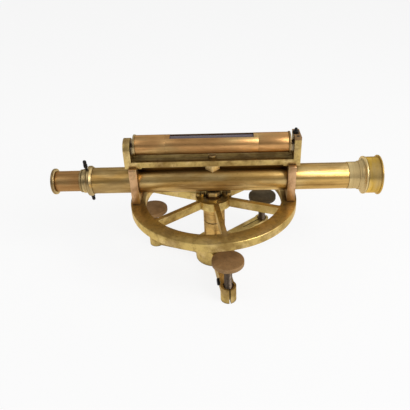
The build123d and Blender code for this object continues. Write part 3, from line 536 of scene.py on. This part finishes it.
def eased(node, material, edge, segments=2, sharp=38.0):
    """A node's own shape with its sharp edges rounded, as handling leaves them."""
    mesh = frame["nodes"][node].data.copy()
    mesh.name = f"{node}_mesh"
    for layer in [a for a in mesh.attributes if a.name == "custom_normal"]:
        mesh.attributes.remove(layer)
    form = bmesh.new()
    form.from_mesh(mesh)
    bmesh.ops.remove_doubles(form, verts=form.verts, dist=MERGE)
    bmesh.ops.dissolve_limit(
        form, angle_limit=radians(0.8), verts=form.verts, edges=form.edges, delimit={"NORMAL"}
    )
    form.to_mesh(mesh)
    form.free()
    source = loose_object(f"{node}_rough", mesh)
    bevel = source.modifiers.new("Edges", "BEVEL")
    bevel.width = edge
    bevel.segments = segments
    bevel.limit_method = "ANGLE"
    bevel.angle_limit = radians(sharp)
    bevel.use_clamp_overlap = True
    mesh = evaluated_mesh(source)
    smooth(mesh)
    return add_piece(f"{node}_worn", mesh, node, material)


def ringed(name, rings, count, solid):
    """A closed mesh of rings round the Z axis, each a function from angle to radius and height.

    A solid's first and last rings are points on the axis. Otherwise the last ring meets the
    first one round a bore.
    """
    form = bmesh.new()
    rows = []
    for number, ring in enumerate(rings):
        if solid and number in (0, len(rings) - 1):
            radius, height = ring(0.0)
            rows.append([form.verts.new((0.0, 0.0, height))])
            continue
        row = []
        for step in range(count):
            angle = 2 * pi * step / count
            radius, height = ring(angle)
            row.append(form.verts.new((radius * cos(angle), radius * sin(angle), height)))
        rows.append(row)
    pairs = list(zip(rows, rows[1:]))
    if not solid:
        pairs.append((rows[-1], rows[0]))
    for low, high in pairs:
        for step in range(count):
            after = (step + 1) % count
            if len(low) == 1:
                form.faces.new((low[0], high[after], high[step]))
            elif len(high) == 1:
                form.faces.new((low[step], low[after], high[0]))
            else:
                form.faces.new((low[step], low[after], high[after], high[step]))
    bmesh.ops.recalc_face_normals(form, faces=form.faces)
    mesh = bpy.data.meshes.new(name)
    form.to_mesh(mesh)
    form.free()
    return mesh


def circles(outline):
    """Rings of a turned shape from its outline of radius and height."""
    return [lambda angle, point=point: point for point in outline]


def under_middle(low, high):
    """The middle of a box's underside."""
    return Vector(((low[0] + high[0]) / 2, (low[1] + high[1]) / 2, low[2]))


def boxes_of_solids(node):
    """The lowest and highest corners of each separate solid of a node."""
    form = bmesh.new()
    form.from_mesh(frame["nodes"][node].data)
    bmesh.ops.remove_doubles(form, verts=form.verts, dist=MERGE)
    boxes, seen = [], set()
    for start in form.verts:
        if start in seen:
            continue
        queue, island = [start], {start}
        while queue:
            vertex = queue.pop()
            for joined in vertex.link_edges:
                other = joined.other_vert(vertex)
                if other not in island:
                    island.add(other)
                    queue.append(other)
        seen |= island
        low = [min(vertex.co[axis] for vertex in island) for axis in range(3)]
        high = [max(vertex.co[axis] for vertex in island) for axis in range(3)]
        boxes.append((low, high))
    form.free()
    return boxes


# Geometry Nodes trees for what repeats


def new_group(name, inputs):
    """A geometry group with named inputs, its board, and the geometry that comes in."""
    group = bpy.data.node_groups.new(name, "GeometryNodeTree")
    group.interface.new_socket("Geometry", in_out="INPUT", socket_type="NodeSocketGeometry")
    for label, kind in inputs:
        group.interface.new_socket(label, in_out="INPUT", socket_type=kind)
    group.interface.new_socket("Geometry", in_out="OUTPUT", socket_type="NodeSocketGeometry")
    board = Board(group)
    entry = board.node("NodeGroupInput", out=None)
    return group, board, {socket.name: Socket(board, socket) for socket in entry.outputs if socket.name}


def close_group(board, shape, material):
    """End a group: realized, with its material set."""
    real = board.node("GeometryNodeRealizeInstances", values={"Geometry": shape})
    painted = board.node("GeometryNodeSetMaterial", values={"Geometry": real, "Material": material})
    board.node("NodeGroupOutput", values={"Geometry": painted}, out=None)


def run_group(source, group, values):
    """Put a group on an object, set its inputs by socket, and take the finished mesh."""
    modifier = source.modifiers.new(group.name, "NODES")
    modifier.node_group = group
    for item in group.interface.items_tree:
        if item.in_out == "INPUT" and item.name in values:
            modifier[item.identifier] = values[item.name]
    return evaluated_mesh(source)


def polar(board):
    """Each point's X, Y and height, then its radius and its angle in turns about the Z axis."""
    place = board.node("GeometryNodeInputPosition")
    split = board.node("ShaderNodeSeparateXYZ", values={"Vector": place}, out=None)
    along, across, height = (Socket(board, split.outputs[axis]) for axis in "XYZ")
    radius = (along * along + across * across) ** 0.5
    angle = board.node("ShaderNodeMath", {"operation": "ARCTAN2"}, {0: across, 1: along})
    return along, across, height, radius, angle / (2 * pi)


def pulled_in(board, shape, along, across, radius, depth):
    """Each point moved towards the axis by a depth."""
    share = depth * -1.0 / board.node("ShaderNodeMath", {"operation": "MAXIMUM"}, {0: radius, 1: 1e-5})
    shift = board.node("ShaderNodeCombineXYZ", values={"X": along * share, "Y": across * share})
    return board.node("GeometryNodeSetPosition", values={"Geometry": shape, "Offset": shift})


def thread_group():
    """Cuts a helical thread into a rod that stands on the Z axis."""
    group, board, given = new_group(
        "Cut thread",
        (
            ("Pitch", "NodeSocketFloat"),
            ("Depth", "NodeSocketFloat"),
            ("Crest", "NodeSocketFloat"),
            ("From", "NodeSocketFloat"),
            ("To", "NodeSocketFloat"),
            ("Material", "NodeSocketMaterial"),
        ),
    )
    along, across, height, radius, turns = polar(board)
    wave = board.node("ShaderNodeMath", {"operation": "FRACT"}, {0: height / given["Pitch"] - turns})
    flank = board.node("ShaderNodeMath", {"operation": "ABSOLUTE"}, {0: wave * 2.0 - 1.0})
    start = (height - given["From"]) / given["Pitch"]
    end = (given["To"] - height) / given["Pitch"]
    cut = flank.between(0.15, 0.9) * start.between(0.0, 1.0) * end.between(0.0, 1.0)
    outside = (radius / given["Crest"]).between(0.8, 0.9)
    shape = pulled_in(board, given["Geometry"], along, across, radius, cut * outside * given["Depth"])
    close_group(board, shape, given["Material"])
    return group


def knurl_group():
    """Cuts straight ridges round the rim of a disc that lies on the Z axis."""
    group, board, given = new_group(
        "Cut knurl",
        (
            ("Ridges", "NodeSocketFloat"),
            ("Depth", "NodeSocketFloat"),
            ("Rim", "NodeSocketFloat"),
            ("Edge", "NodeSocketFloat"),
            ("Material", "NodeSocketMaterial"),
        ),
    )
    along, across, height, radius, turns = polar(board)
    wave = board.node("ShaderNodeMath", {"operation": "SINE"}, {0: turns * given["Ridges"] * (2 * pi)})
    near = ((radius - given["Rim"]) / given["Edge"] + 1.0).between(0.1, 0.9)
    shape = pulled_in(
        board, given["Geometry"], along, across, radius, (wave * 0.5 + 0.5) * near * given["Depth"]
    )
    close_group(board, shape, given["Material"])
    return group


def screws_group():
    """Sets one slotted screw on each point of the incoming mesh."""
    group, board, given = new_group(
        "Slotted screws",
        (
            ("Screw", "NodeSocketObject"),
            ("Turn", "NodeSocketVector"),
            ("Slot width", "NodeSocketFloat"),
            ("Slot depth", "NodeSocketFloat"),
            ("Head radius", "NodeSocketFloat"),
            ("Material", "NodeSocketMaterial"),
        ),
    )
    screw = board.node("GeometryNodeObjectInfo", values={"Object": given["Screw"]}, out="Geometry")
    slot_size = board.node(
        "ShaderNodeCombineXYZ",
        values={
            "X": given["Head radius"] * 4.0,
            "Y": given["Slot width"],
            "Z": given["Slot depth"] * 2.0,
        },
    )
    slot = board.node("GeometryNodeMeshCube", values={"Size": slot_size}, out="Mesh")
    slotted = board.node(
        "GeometryNodeMeshBoolean",
        {"operation": "DIFFERENCE", "solver": "EXACT"},
        {"Mesh 1": screw, "Mesh 2": slot},
    )
    points = board.node("GeometryNodeMeshToPoints", values={"Mesh": given["Geometry"]})
    placed = board.node(
        "GeometryNodeInstanceOnPoints",
        values={"Points": points, "Instance": slotted, "Rotation": given["Turn"]},
    )
    close_group(board, placed, given["Material"])
    return group


# Operators


class THEODOLITE_OT_finishes(bpy.types.Operator):
    """Mix every finish and put it on the pieces that keep their plain shape"""

    bl_idname = "theodolite.finishes"
    bl_label = "Finishes"

    def execute(self, context):
        tint = context.scene.theodolite_colours

        def shade(*names):
            return [tuple(getattr(tint, name)) for name in names]

        # Name, colour, grain, age and roughness, then patch, painted shade strength and metal where they
        # differ
        for name, body, grain, age, rough, *more in (
            ("cast_brass", "cast", "cast", 0.55, 0.3, 30.0, 0.55),
            ("turned_brass", "turned", "drawn", 0.6, 0.24, 30.0),
            ("spun_brass", "turned", "spun", 0.55, 0.26),
            ("cell_brass", "cell", "lathe", 0.3, 0.3, 30.0, 0.3, 0.8),
            ("eye_brass", "eye", "lathe", 0.6, 0.26, 40.0),
            ("frame_brass", "frame_metal", "cast", 0.55, 0.3, 36.0),
            ("copper_brass", "copper", "drawn", 0.55, 0.26, 30.0, 0.4),
            ("plate_brass", "plate", "cast", 0.5, 0.32, 38.0),
            ("polished_brass", "polished", "lathe", 0.35, 0.22, 26.0, 0.3, 0.85),
        ):
            old_brass(name, shade(body, "stain", "pale", "painted_shade", "grime_and_shade"), grain, age, rough, *more)
        knobs = shade("bronzed", "bronze_stain", "bronzed", "painted_shade", "grime_and_shade")
        old_brass("bronzed_brass", knobs, "cast", 0.5, 0.45, 40.0, 0.3, 0.3)
        # Painted reflection: a darkened copy of the knob brass for the rear right knob
        shaded_knob_colours = shade("smoked", "shaded_knob_stain", "shaded_knob_wear", "painted_shade", "grime_and_shade")
        old_brass("smoked_brass", shaded_knob_colours, "cast", 0.5, 0.45, 40.0, 0.3, 0.3)
        washer = shade("washer", "washer_stain", "bronzed", "painted_shade", "grime_and_shade")
        old_brass("dark_brass", washer, "spun", 0.5, 0.3)
        dark_steel("black_steel", *shade("black", "bare"))
        bright_steel("steel", *shade("steel", "rust"))
        clear_glass("optical_glass", *shade("lens"))
        clear_glass("vial_glass", *shade("vial"), 0.16, 0.55)
        clear_glass("spirit", *shade("spirit"))
        cork_grain("cork", *shade("cork", "cork_dark"))
        plain = {
            "turned_brass": ["draw_tube", "eyepiece_barrel", "lens_ring", "lens_spacer"],
            "black_steel": ["light_stops", "reticle_ring", "cross_hairs"],
            "steel": ["spindle", "thrust_washer", "pivot_stud", "lift_stud"],
            "optical_glass": ["flint_lens", "crown_lens", "eye_lens", "field_lens"],
            "vial_glass": ["vial"],
            "spirit": ["spirit"],
            "cork": ["vial_packing"],
        }
        for name, nodes in plain.items():
            for node in nodes:
                mesh = frame["nodes"][node].data
                mesh.materials.clear()
                mesh.materials.append(finish(name))
        return {"FINISHED"}


class THEODOLITE_OT_base(bpy.types.Operator):
    """Ease the edges of the levelling base and its clamp screws"""

    bl_idname = "theodolite.base"
    bl_label = "Levelling base"

    def execute(self, context):
        size = context.scene.theodolite_sizes
        eased("tribrach", "cast_brass", 1.6 * size.edge, 3)
        for foot in FEET:
            eased(f"clamp_screw_{foot}", "black_steel", size.turned_edge)
        return {"FINISHED"}


class THEODOLITE_OT_levelling_screws(bpy.types.Operator):
    """Turn the three levelling screws and cut their threads"""

    bl_idname = "theodolite.levelling_screws"
    bl_label = "Levelling screws"

    def execute(self, context):
        size = context.scene.theodolite_sizes
        group = thread_group()
        radius, chamfer, neck = size.foot_radius, size.foot_chamfer, size.knob_seat
        for foot in FEET:
            node = f"levelling_screw_{foot}"
            low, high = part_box(node)
            under_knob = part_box(f"levelling_knob_{foot}")[0][2] - low[2]
            tall = high[2] - low[2]
            middle = under_middle(low, high)
            count = int((under_knob - 2 * chamfer) / size.foot_pitch * ROWS_PER_THREAD)
            outline = [(0.0, 0.0), (radius - chamfer, 0.0)]
            for step in range(count + 1):
                outline.append((radius, chamfer + (under_knob - chamfer - 0.1 * MM) * step / count))
            outline += [(radius, under_knob), (neck, under_knob), (neck, tall), (0.0, tall)]
            rod = ringed(f"{node}_mesh", circles(outline), ROD_SPANS, True)
            mesh = run_group(
                loose_object(f"{node}_rough", rod),
                group,
                {
                    "Pitch": size.foot_pitch,
                    "Depth": size.foot_depth,
                    "Crest": radius,
                    "From": 2 * chamfer,
                    "To": under_knob - chamfer,
                    "Material": finish("steel"),
                },
            )
            mesh.transform(Matrix.Translation(middle))
            smooth(mesh, 50.0)
            add_piece(f"{node}_threaded", mesh, node, "steel")
        return {"FINISHED"}


class THEODOLITE_OT_levelling_knobs(bpy.types.Operator):
    """Turn the three levelling knobs and knurl their rims"""

    bl_idname = "theodolite.levelling_knobs"
    bl_label = "Levelling knobs"

    def execute(self, context):
        size = context.scene.theodolite_sizes
        group = knurl_group()
        edge, web, seat = size.knob_edge, size.knob_web, size.knob_seat + size.seat_play
        for foot in FEET:
            node = f"levelling_knob_{foot}"
            # The rear right knob takes the darkened copy, as painted dark reflection
            metal = "smoked_brass" if foot == "right" else "bronzed_brass"
            low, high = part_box(node)
            radius, tall = (high[0] - low[0]) / 2, high[2] - low[2]
            middle = under_middle(low, high)
            corner = [(2.2, 0.0), (1.0, 0.12), (0.3, 0.45), (0.0, 1.0)]
            outline = [(0.0, tall - web), (seat, tall - web), (seat, 0.0)]
            outline += [(radius - inward * edge, up * edge) for inward, up in corner]
            outline += [(radius, tall / 2)]
            outline += [(radius - inward * edge, tall - down * edge) for inward, down in reversed(corner)]
            outline += [(radius / 2, tall), (0.0, tall)]
            disc = ringed(f"{node}_mesh", circles(outline), size.knurl_count * SPANS_PER_RIDGE, True)
            mesh = run_group(
                loose_object(f"{node}_rough", disc),
                group,
                {
                    "Ridges": float(size.knurl_count),
                    "Depth": size.knurl_depth,
                    "Rim": radius,
                    "Edge": edge,
                    "Material": finish(metal),
                },
            )
            mesh.transform(Matrix.Translation(middle))
            smooth(mesh, 40.0)
            add_piece(f"{node}_knurled", mesh, node, metal)
        return {"FINISHED"}


class THEODOLITE_OT_column(bpy.types.Operator):
    """Ease the edges of the column and the turning socket"""

    bl_idname = "theodolite.column"
    bl_label = "Column and socket"

    def execute(self, context):
        size = context.scene.theodolite_sizes
        eased("column", "spun_brass", size.turned_edge)
        eased("socket", "spun_brass", size.turned_edge)
        return {"FINISHED"}


class THEODOLITE_OT_circle(bpy.types.Operator):
    """Ease the edges of the spoked horizontal circle"""

    bl_idname = "theodolite.circle"
    bl_label = "Horizontal circle"

    def execute(self, context):
        eased("horizontal_circle", "cast_brass", 1.4 * context.scene.theodolite_sizes.edge, 3)
        return {"FINISHED"}


class THEODOLITE_OT_hub_fasteners(bpy.types.Operator):
    """Make the chamfered hub nut and ease its washer and the two screws beside it"""

    bl_idname = "theodolite.hub_fasteners"
    bl_label = "Hub nut and screws"

    def execute(self, context):
        size = context.scene.theodolite_sizes
        eased("hub_washer", "dark_brass", size.turned_edge)
        eased("hub_screws", "cast_brass", 1.5 * size.turned_edge, 3)
        low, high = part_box("hub_nut")
        middle = under_middle(low, high)
        tall, flat, bore = high[2] - low[2], size.nut_flats / 2, size.nut_bore / 2
        flat_ring, blunt, slope = 0.96 * flat, 1.11 * flat, tan(size.nut_slope)
        lower, upper = size.turned_edge, 2.5 * size.turned_edge

        def hexagon(angle):
            share = (angle - size.nut_turn) % (pi / 3) - pi / 6
            return min(flat / cos(share), blunt)

        rings = [
            lambda angle: (bore, 0.0),
            lambda angle: (hexagon(angle) - lower, 0.0),
            lambda angle: (hexagon(angle), lower),
            lambda angle: (hexagon(angle), tall - (hexagon(angle) - flat_ring) * slope),
            lambda angle: (flat_ring, tall),
            lambda angle: (bore + upper, tall),
            lambda angle: (bore, tall - upper),
        ]
        mesh = ringed("hub_nut_mesh", rings, NUT_SPANS, False)
        mesh.transform(Matrix.Translation(middle))
        smooth(mesh, 24.0)
        add_piece("hub_nut_chamfered", mesh, "hub_nut", "cell_brass")
        return {"FINISHED"}


class THEODOLITE_OT_standards(bpy.types.Operator):
    """Ease the edges of the two standards"""

    bl_idname = "theodolite.standards"
    bl_label = "Standards"

    def execute(self, context):
        for side in SIDES:
            eased(f"standard_{side}", "plate_brass", context.scene.theodolite_sizes.edge)
        return {"FINISHED"}


class THEODOLITE_OT_telescope(bpy.types.Operator):
    """Ease the edges of the telescope's tube, its objective cell and the ray shade"""

    bl_idname = "theodolite.telescope"
    bl_label = "Telescope"

    def execute(self, context):
        size = context.scene.theodolite_sizes
        eased("telescope_tube", "turned_brass", size.turned_edge)
        eased("objective_cell", "cell_brass", size.turned_edge)
        eased("ray_shade", "polished_brass", size.turned_edge, sharp=50.0)
        return {"FINISHED"}


class THEODOLITE_OT_eyepiece(bpy.types.Operator):
    """Ease the reticle collar, its capstan screws, the ocular sleeve and the eye cap"""

    bl_idname = "theodolite.eyepiece"
    bl_label = "Eyepiece end"

    def execute(self, context):
        size = context.scene.theodolite_sizes
        eased("reticle_collar", "eye_brass", size.turned_edge)
        eased("capstan_screws", "black_steel", 0.6 * size.turned_edge)
        eased("ocular_sleeve", "copper_brass", size.turned_edge)
        eased("eye_cap", "eye_brass", size.turned_edge)
        return {"FINISHED"}


class THEODOLITE_OT_level_frame(bpy.types.Operator):
    """Ease the frame that carries the level, and the post and screw in its middle"""

    bl_idname = "theodolite.level_frame"
    bl_label = "Level frame"

    def execute(self, context):
        size = context.scene.theodolite_sizes
        eased("level_frame", "frame_brass", size.edge)
        eased("centre_post", "cell_brass", size.edge)
        eased("centre_screw", "cell_brass", size.turned_edge)
        return {"FINISHED"}


class THEODOLITE_OT_level(bpy.types.Operator):
    """Ease the level's sleeve, its two tubes and the end plugs"""

    bl_idname = "theodolite.level"
    bl_label = "Level"

    def execute(self, context):
        size = context.scene.theodolite_sizes
        eased("level_sleeve", "copper_brass", size.turned_edge)
        for side in SIDES:
            eased(f"level_cap_{side}", "copper_brass", size.turned_edge)
            eased(f"level_plug_{side}", "eye_brass", size.turned_edge)
        return {"FINISHED"}


class THEODOLITE_OT_adjuster(bpy.types.Operator):
    """Ease the cap on the right upright and its capstan screw"""

    bl_idname = "theodolite.adjuster"
    bl_label = "Level adjuster"

    def execute(self, context):
        size = context.scene.theodolite_sizes
        eased("adjuster_cap", "bronzed_brass", size.edge)
        eased("adjusting_screw", "black_steel", 0.6 * size.turned_edge)
        return {"FINISHED"}


class THEODOLITE_OT_slotted_screws(bpy.types.Operator):
    """Set the slotted screws of the standards, the level frame and the adjuster's cap"""

    bl_idname = "theodolite.slotted_screws"
    bl_label = "Slotted screws"

    def execute(self, context):
        group = screws_group()
        edge, slot_turn = 0.25 * MM, radians(25)
        # Node, radius and height of the head, radius of the shank, seen from below, material
        rows = (
            ("standard_screws", 3.2, 2.2, 1.6, True, "plate_brass"),
            ("frame_screws", 2.6, 1.6, 1.5, False, "frame_brass"),
            ("cap_screws", 1.9, 1.2, 1.0, False, "black_steel"),
        )
        for node, head, thick, shank, from_below, material in rows:
            head, thick, shank = head * MM, thick * MM, shank * MM
            boxes = boxes_of_solids(node)
            tall = boxes[0][1][2] - boxes[0][0][2]
            outline = [(0.0, -tall), (shank, -tall), (shank, -thick), (head, -thick)]
            outline += [(head, -edge), (head - 0.3 * edge, -0.3 * edge), (head - edge, 0.0), (0.0, 0.0)]
            turned = ringed(f"{node}_one_mesh", circles(outline), SCREW_SPANS, True)
            screw = loose_object(f"{node}_one", turned)
            spots = bpy.data.meshes.new(f"{node}_spots")
            spots.from_pydata(
                [
                    ((low[0] + high[0]) / 2, (low[1] + high[1]) / 2, low[2] if from_below else high[2])
                    for low, high in boxes
                ],
                [],
                [],
            )
            mesh = run_group(
                loose_object(f"{node}_rough", spots),
                group,
                {
                    "Screw": screw,
                    "Turn": (pi if from_below else 0.0, 0.0, slot_turn),
                    "Slot width": 0.3 * head,
                    "Slot depth": 0.4 * thick,
                    "Head radius": head,
                    "Material": finish(material),
                },
            )
            old = screw.data
            bpy.data.objects.remove(screw)
            bpy.data.meshes.remove(old)
            smooth(mesh)
            add_piece(f"{node}_slotted", mesh, node, material)
        return {"FINISHED"}


class THEODOLITE_OT_studio(bpy.types.Operator):
    """Lay the floor, hang the lamps and set the camera"""

    bl_idname = "theodolite.studio"
    bl_label = "Studio"

    def execute(self, context):
        scene = context.scene
        studio = scene.theodolite_studio
        mesh = bpy.data.meshes.new("floor_mesh")
        half = 3.0
        mesh.from_pydata(
            [(-half, -half, 0), (half, -half, 0), (half, half, 0), (-half, half, 0)], [], [(0, 1, 2, 3)]
        )
        floor = bpy.data.objects.new("floor", mesh)
        scene.collection.objects.link(floor)
        material, board = blank_material("floor_paint")
        rays = board.node("ShaderNodeLightPath", out=None)
        seen = Socket(board, rays.outputs["Is Camera Ray"])
        mirrored = Socket(board, rays.outputs["Is Glossy Ray"])
        through = Socket(board, rays.outputs["Is Transmission Ray"])
        paint = board.node(
            "ShaderNodeBsdfDiffuse",
            values={"Color": tuple(studio.floor), "Roughness": 0.6},
        )
        glow = board.node("ShaderNodeEmission", values={"Color": (1, 1, 1, 1), "Strength": 1.0})
        share = (seen + mirrored * 0.8 + through * 0.5) * studio.glow
        show(board, board.node("ShaderNodeMixShader", values={0: share, 1: paint, 2: glow}))
        mesh.materials.append(material)

        world = scene.world or bpy.data.worlds.new("room")
        scene.world = world
        world.use_nodes = True
        world.node_tree.nodes.clear()
        board = Board(world.node_tree)
        rays = board.node("ShaderNodeLightPath", out=None)
        seen = Socket(board, rays.outputs["Is Camera Ray"])
        glossy = Socket(board, rays.outputs["Is Glossy Ray"])
        through = Socket(board, rays.outputs["Is Transmission Ray"])
        white = board.node("ShaderNodeMath", {"operation": "MAXIMUM"}, {0: seen, 1: glossy})
        white = board.node("ShaderNodeMath", {"operation": "MAXIMUM"}, {0: white, 1: through})
        way = board.node("ShaderNodeTexCoord", out="Generated")
        split = board.node("ShaderNodeSeparateXYZ", values={"Vector": way}, out=None)
        aside, ahead, height = (Socket(board, split.outputs[axis]) for axis in "XYZ")
        walls = 1.0 - height.between(-0.1, -0.02) * (1.0 - height.between(0.06, 0.42))
        behind = studio.front + (studio.back - studio.front) * ahead.between(-0.3, 0.5)
        above = behind + (studio.ceiling - behind) * height.between(0.6, 0.95)
        window = aside.between(0.25, 0.8) * height.between(0.0, 0.3) * studio.window
        gloom = 1.0 - aside.between(-0.25, -0.85) * 0.6
        room = studio.wall + (above * gloom - studio.wall) * walls + window
        mirrored = glossy * (1.0 - seen)
        strength = studio.room + (1.0 - studio.room) * white
        strength = strength * (1.0 - mirrored) + room * mirrored
        light = board.node(
            "ShaderNodeBackground", values={"Color": (1, 1, 1, 1), "Strength": strength}
        )
        board.node("ShaderNodeOutputWorld", values={"Surface": light}, out=None)

        for name, place, size, power in (
            ("key_lamp", (0.9, -0.6, 0.9), 0.7, studio.key),
            ("fill_lamp", (-0.9, -0.4, 0.9), 0.8, studio.fill),
        ):
            data = bpy.data.lights.new(name, "AREA")
            data.size = size
            data.energy = power
            lamp = bpy.data.objects.new(name, data)
            scene.collection.objects.link(lamp)
            aim = Vector((0, 0, 0.1)) - Vector(place)
            facing = aim.to_track_quat("-Z", "Y").to_matrix().to_4x4()
            lamp.matrix_world = Matrix.Translation(place) @ facing

        turn, rise, roll = studio.azimuth, studio.elevation, studio.roll
        back = Vector((sin(turn) * cos(rise), -cos(turn) * cos(rise), sin(rise)))
        right = Vector((cos(turn), sin(turn), 0))
        down = (-back).cross(right)
        across = cos(roll) * right + sin(roll) * down
        below = -sin(roll) * right + cos(roll) * down
        pose = Matrix((across, -below, back)).transposed().to_4x4()
        data = bpy.data.cameras.new("camera")
        data.sensor_width = 36.0
        data.sensor_fit = "HORIZONTAL"
        data.lens = studio.lens
        data.shift_x = studio.shift_x
        data.shift_y = studio.shift_y
        camera = bpy.data.objects.new("camera", data)
        camera.matrix_world = Matrix.Translation(studio.camera_place) @ pose
        scene.collection.objects.link(camera)
        scene.camera = camera
        scene.view_settings.view_transform = "Standard"
        return {"FINISHED"}


PROPERTY_GROUPS = (
    ("theodolite_sizes", TheodoliteSizes),
    ("theodolite_colours", TheodoliteColours),
    ("theodolite_studio", TheodoliteStudio),
)
OPERATORS = (
    THEODOLITE_OT_finishes,
    THEODOLITE_OT_base,
    THEODOLITE_OT_levelling_screws,
    THEODOLITE_OT_levelling_knobs,
    THEODOLITE_OT_column,
    THEODOLITE_OT_circle,
    THEODOLITE_OT_hub_fasteners,
    THEODOLITE_OT_standards,
    THEODOLITE_OT_telescope,
    THEODOLITE_OT_eyepiece,
    THEODOLITE_OT_level_frame,
    THEODOLITE_OT_level,
    THEODOLITE_OT_adjuster,
    THEODOLITE_OT_slotted_screws,
    THEODOLITE_OT_studio,
)


class THEODOLITE_PT_panel(bpy.types.Panel):
    """Lists the steps that make the theodolite"""

    bl_label = "Theodolite"
    bl_idname = "THEODOLITE_PT_panel"
    bl_space_type = "VIEW_3D"
    bl_region_type = "UI"
    bl_category = "Theodolite"

    def draw(self, context):
        for operator in OPERATORS:
            self.layout.operator(operator.bl_idname)


def register():
    for name, group in PROPERTY_GROUPS:
        bpy.utils.register_class(group)
        setattr(bpy.types.Scene, name, PointerProperty(type=group))
    for operator in OPERATORS:
        bpy.utils.register_class(operator)
    bpy.utils.register_class(THEODOLITE_PT_panel)


def unregister():
    bpy.utils.unregister_class(THEODOLITE_PT_panel)
    for operator in reversed(OPERATORS):
        bpy.utils.unregister_class(operator)
    for name, group in reversed(PROPERTY_GROUPS):
        delattr(bpy.types.Scene, name)
        bpy.utils.unregister_class(group)


def main():
    register()
    for operator in OPERATORS:
        group, step = operator.bl_idname.split(".")
        getattr(getattr(bpy.ops, group), step)()


if __name__ == "__main__":
    main()
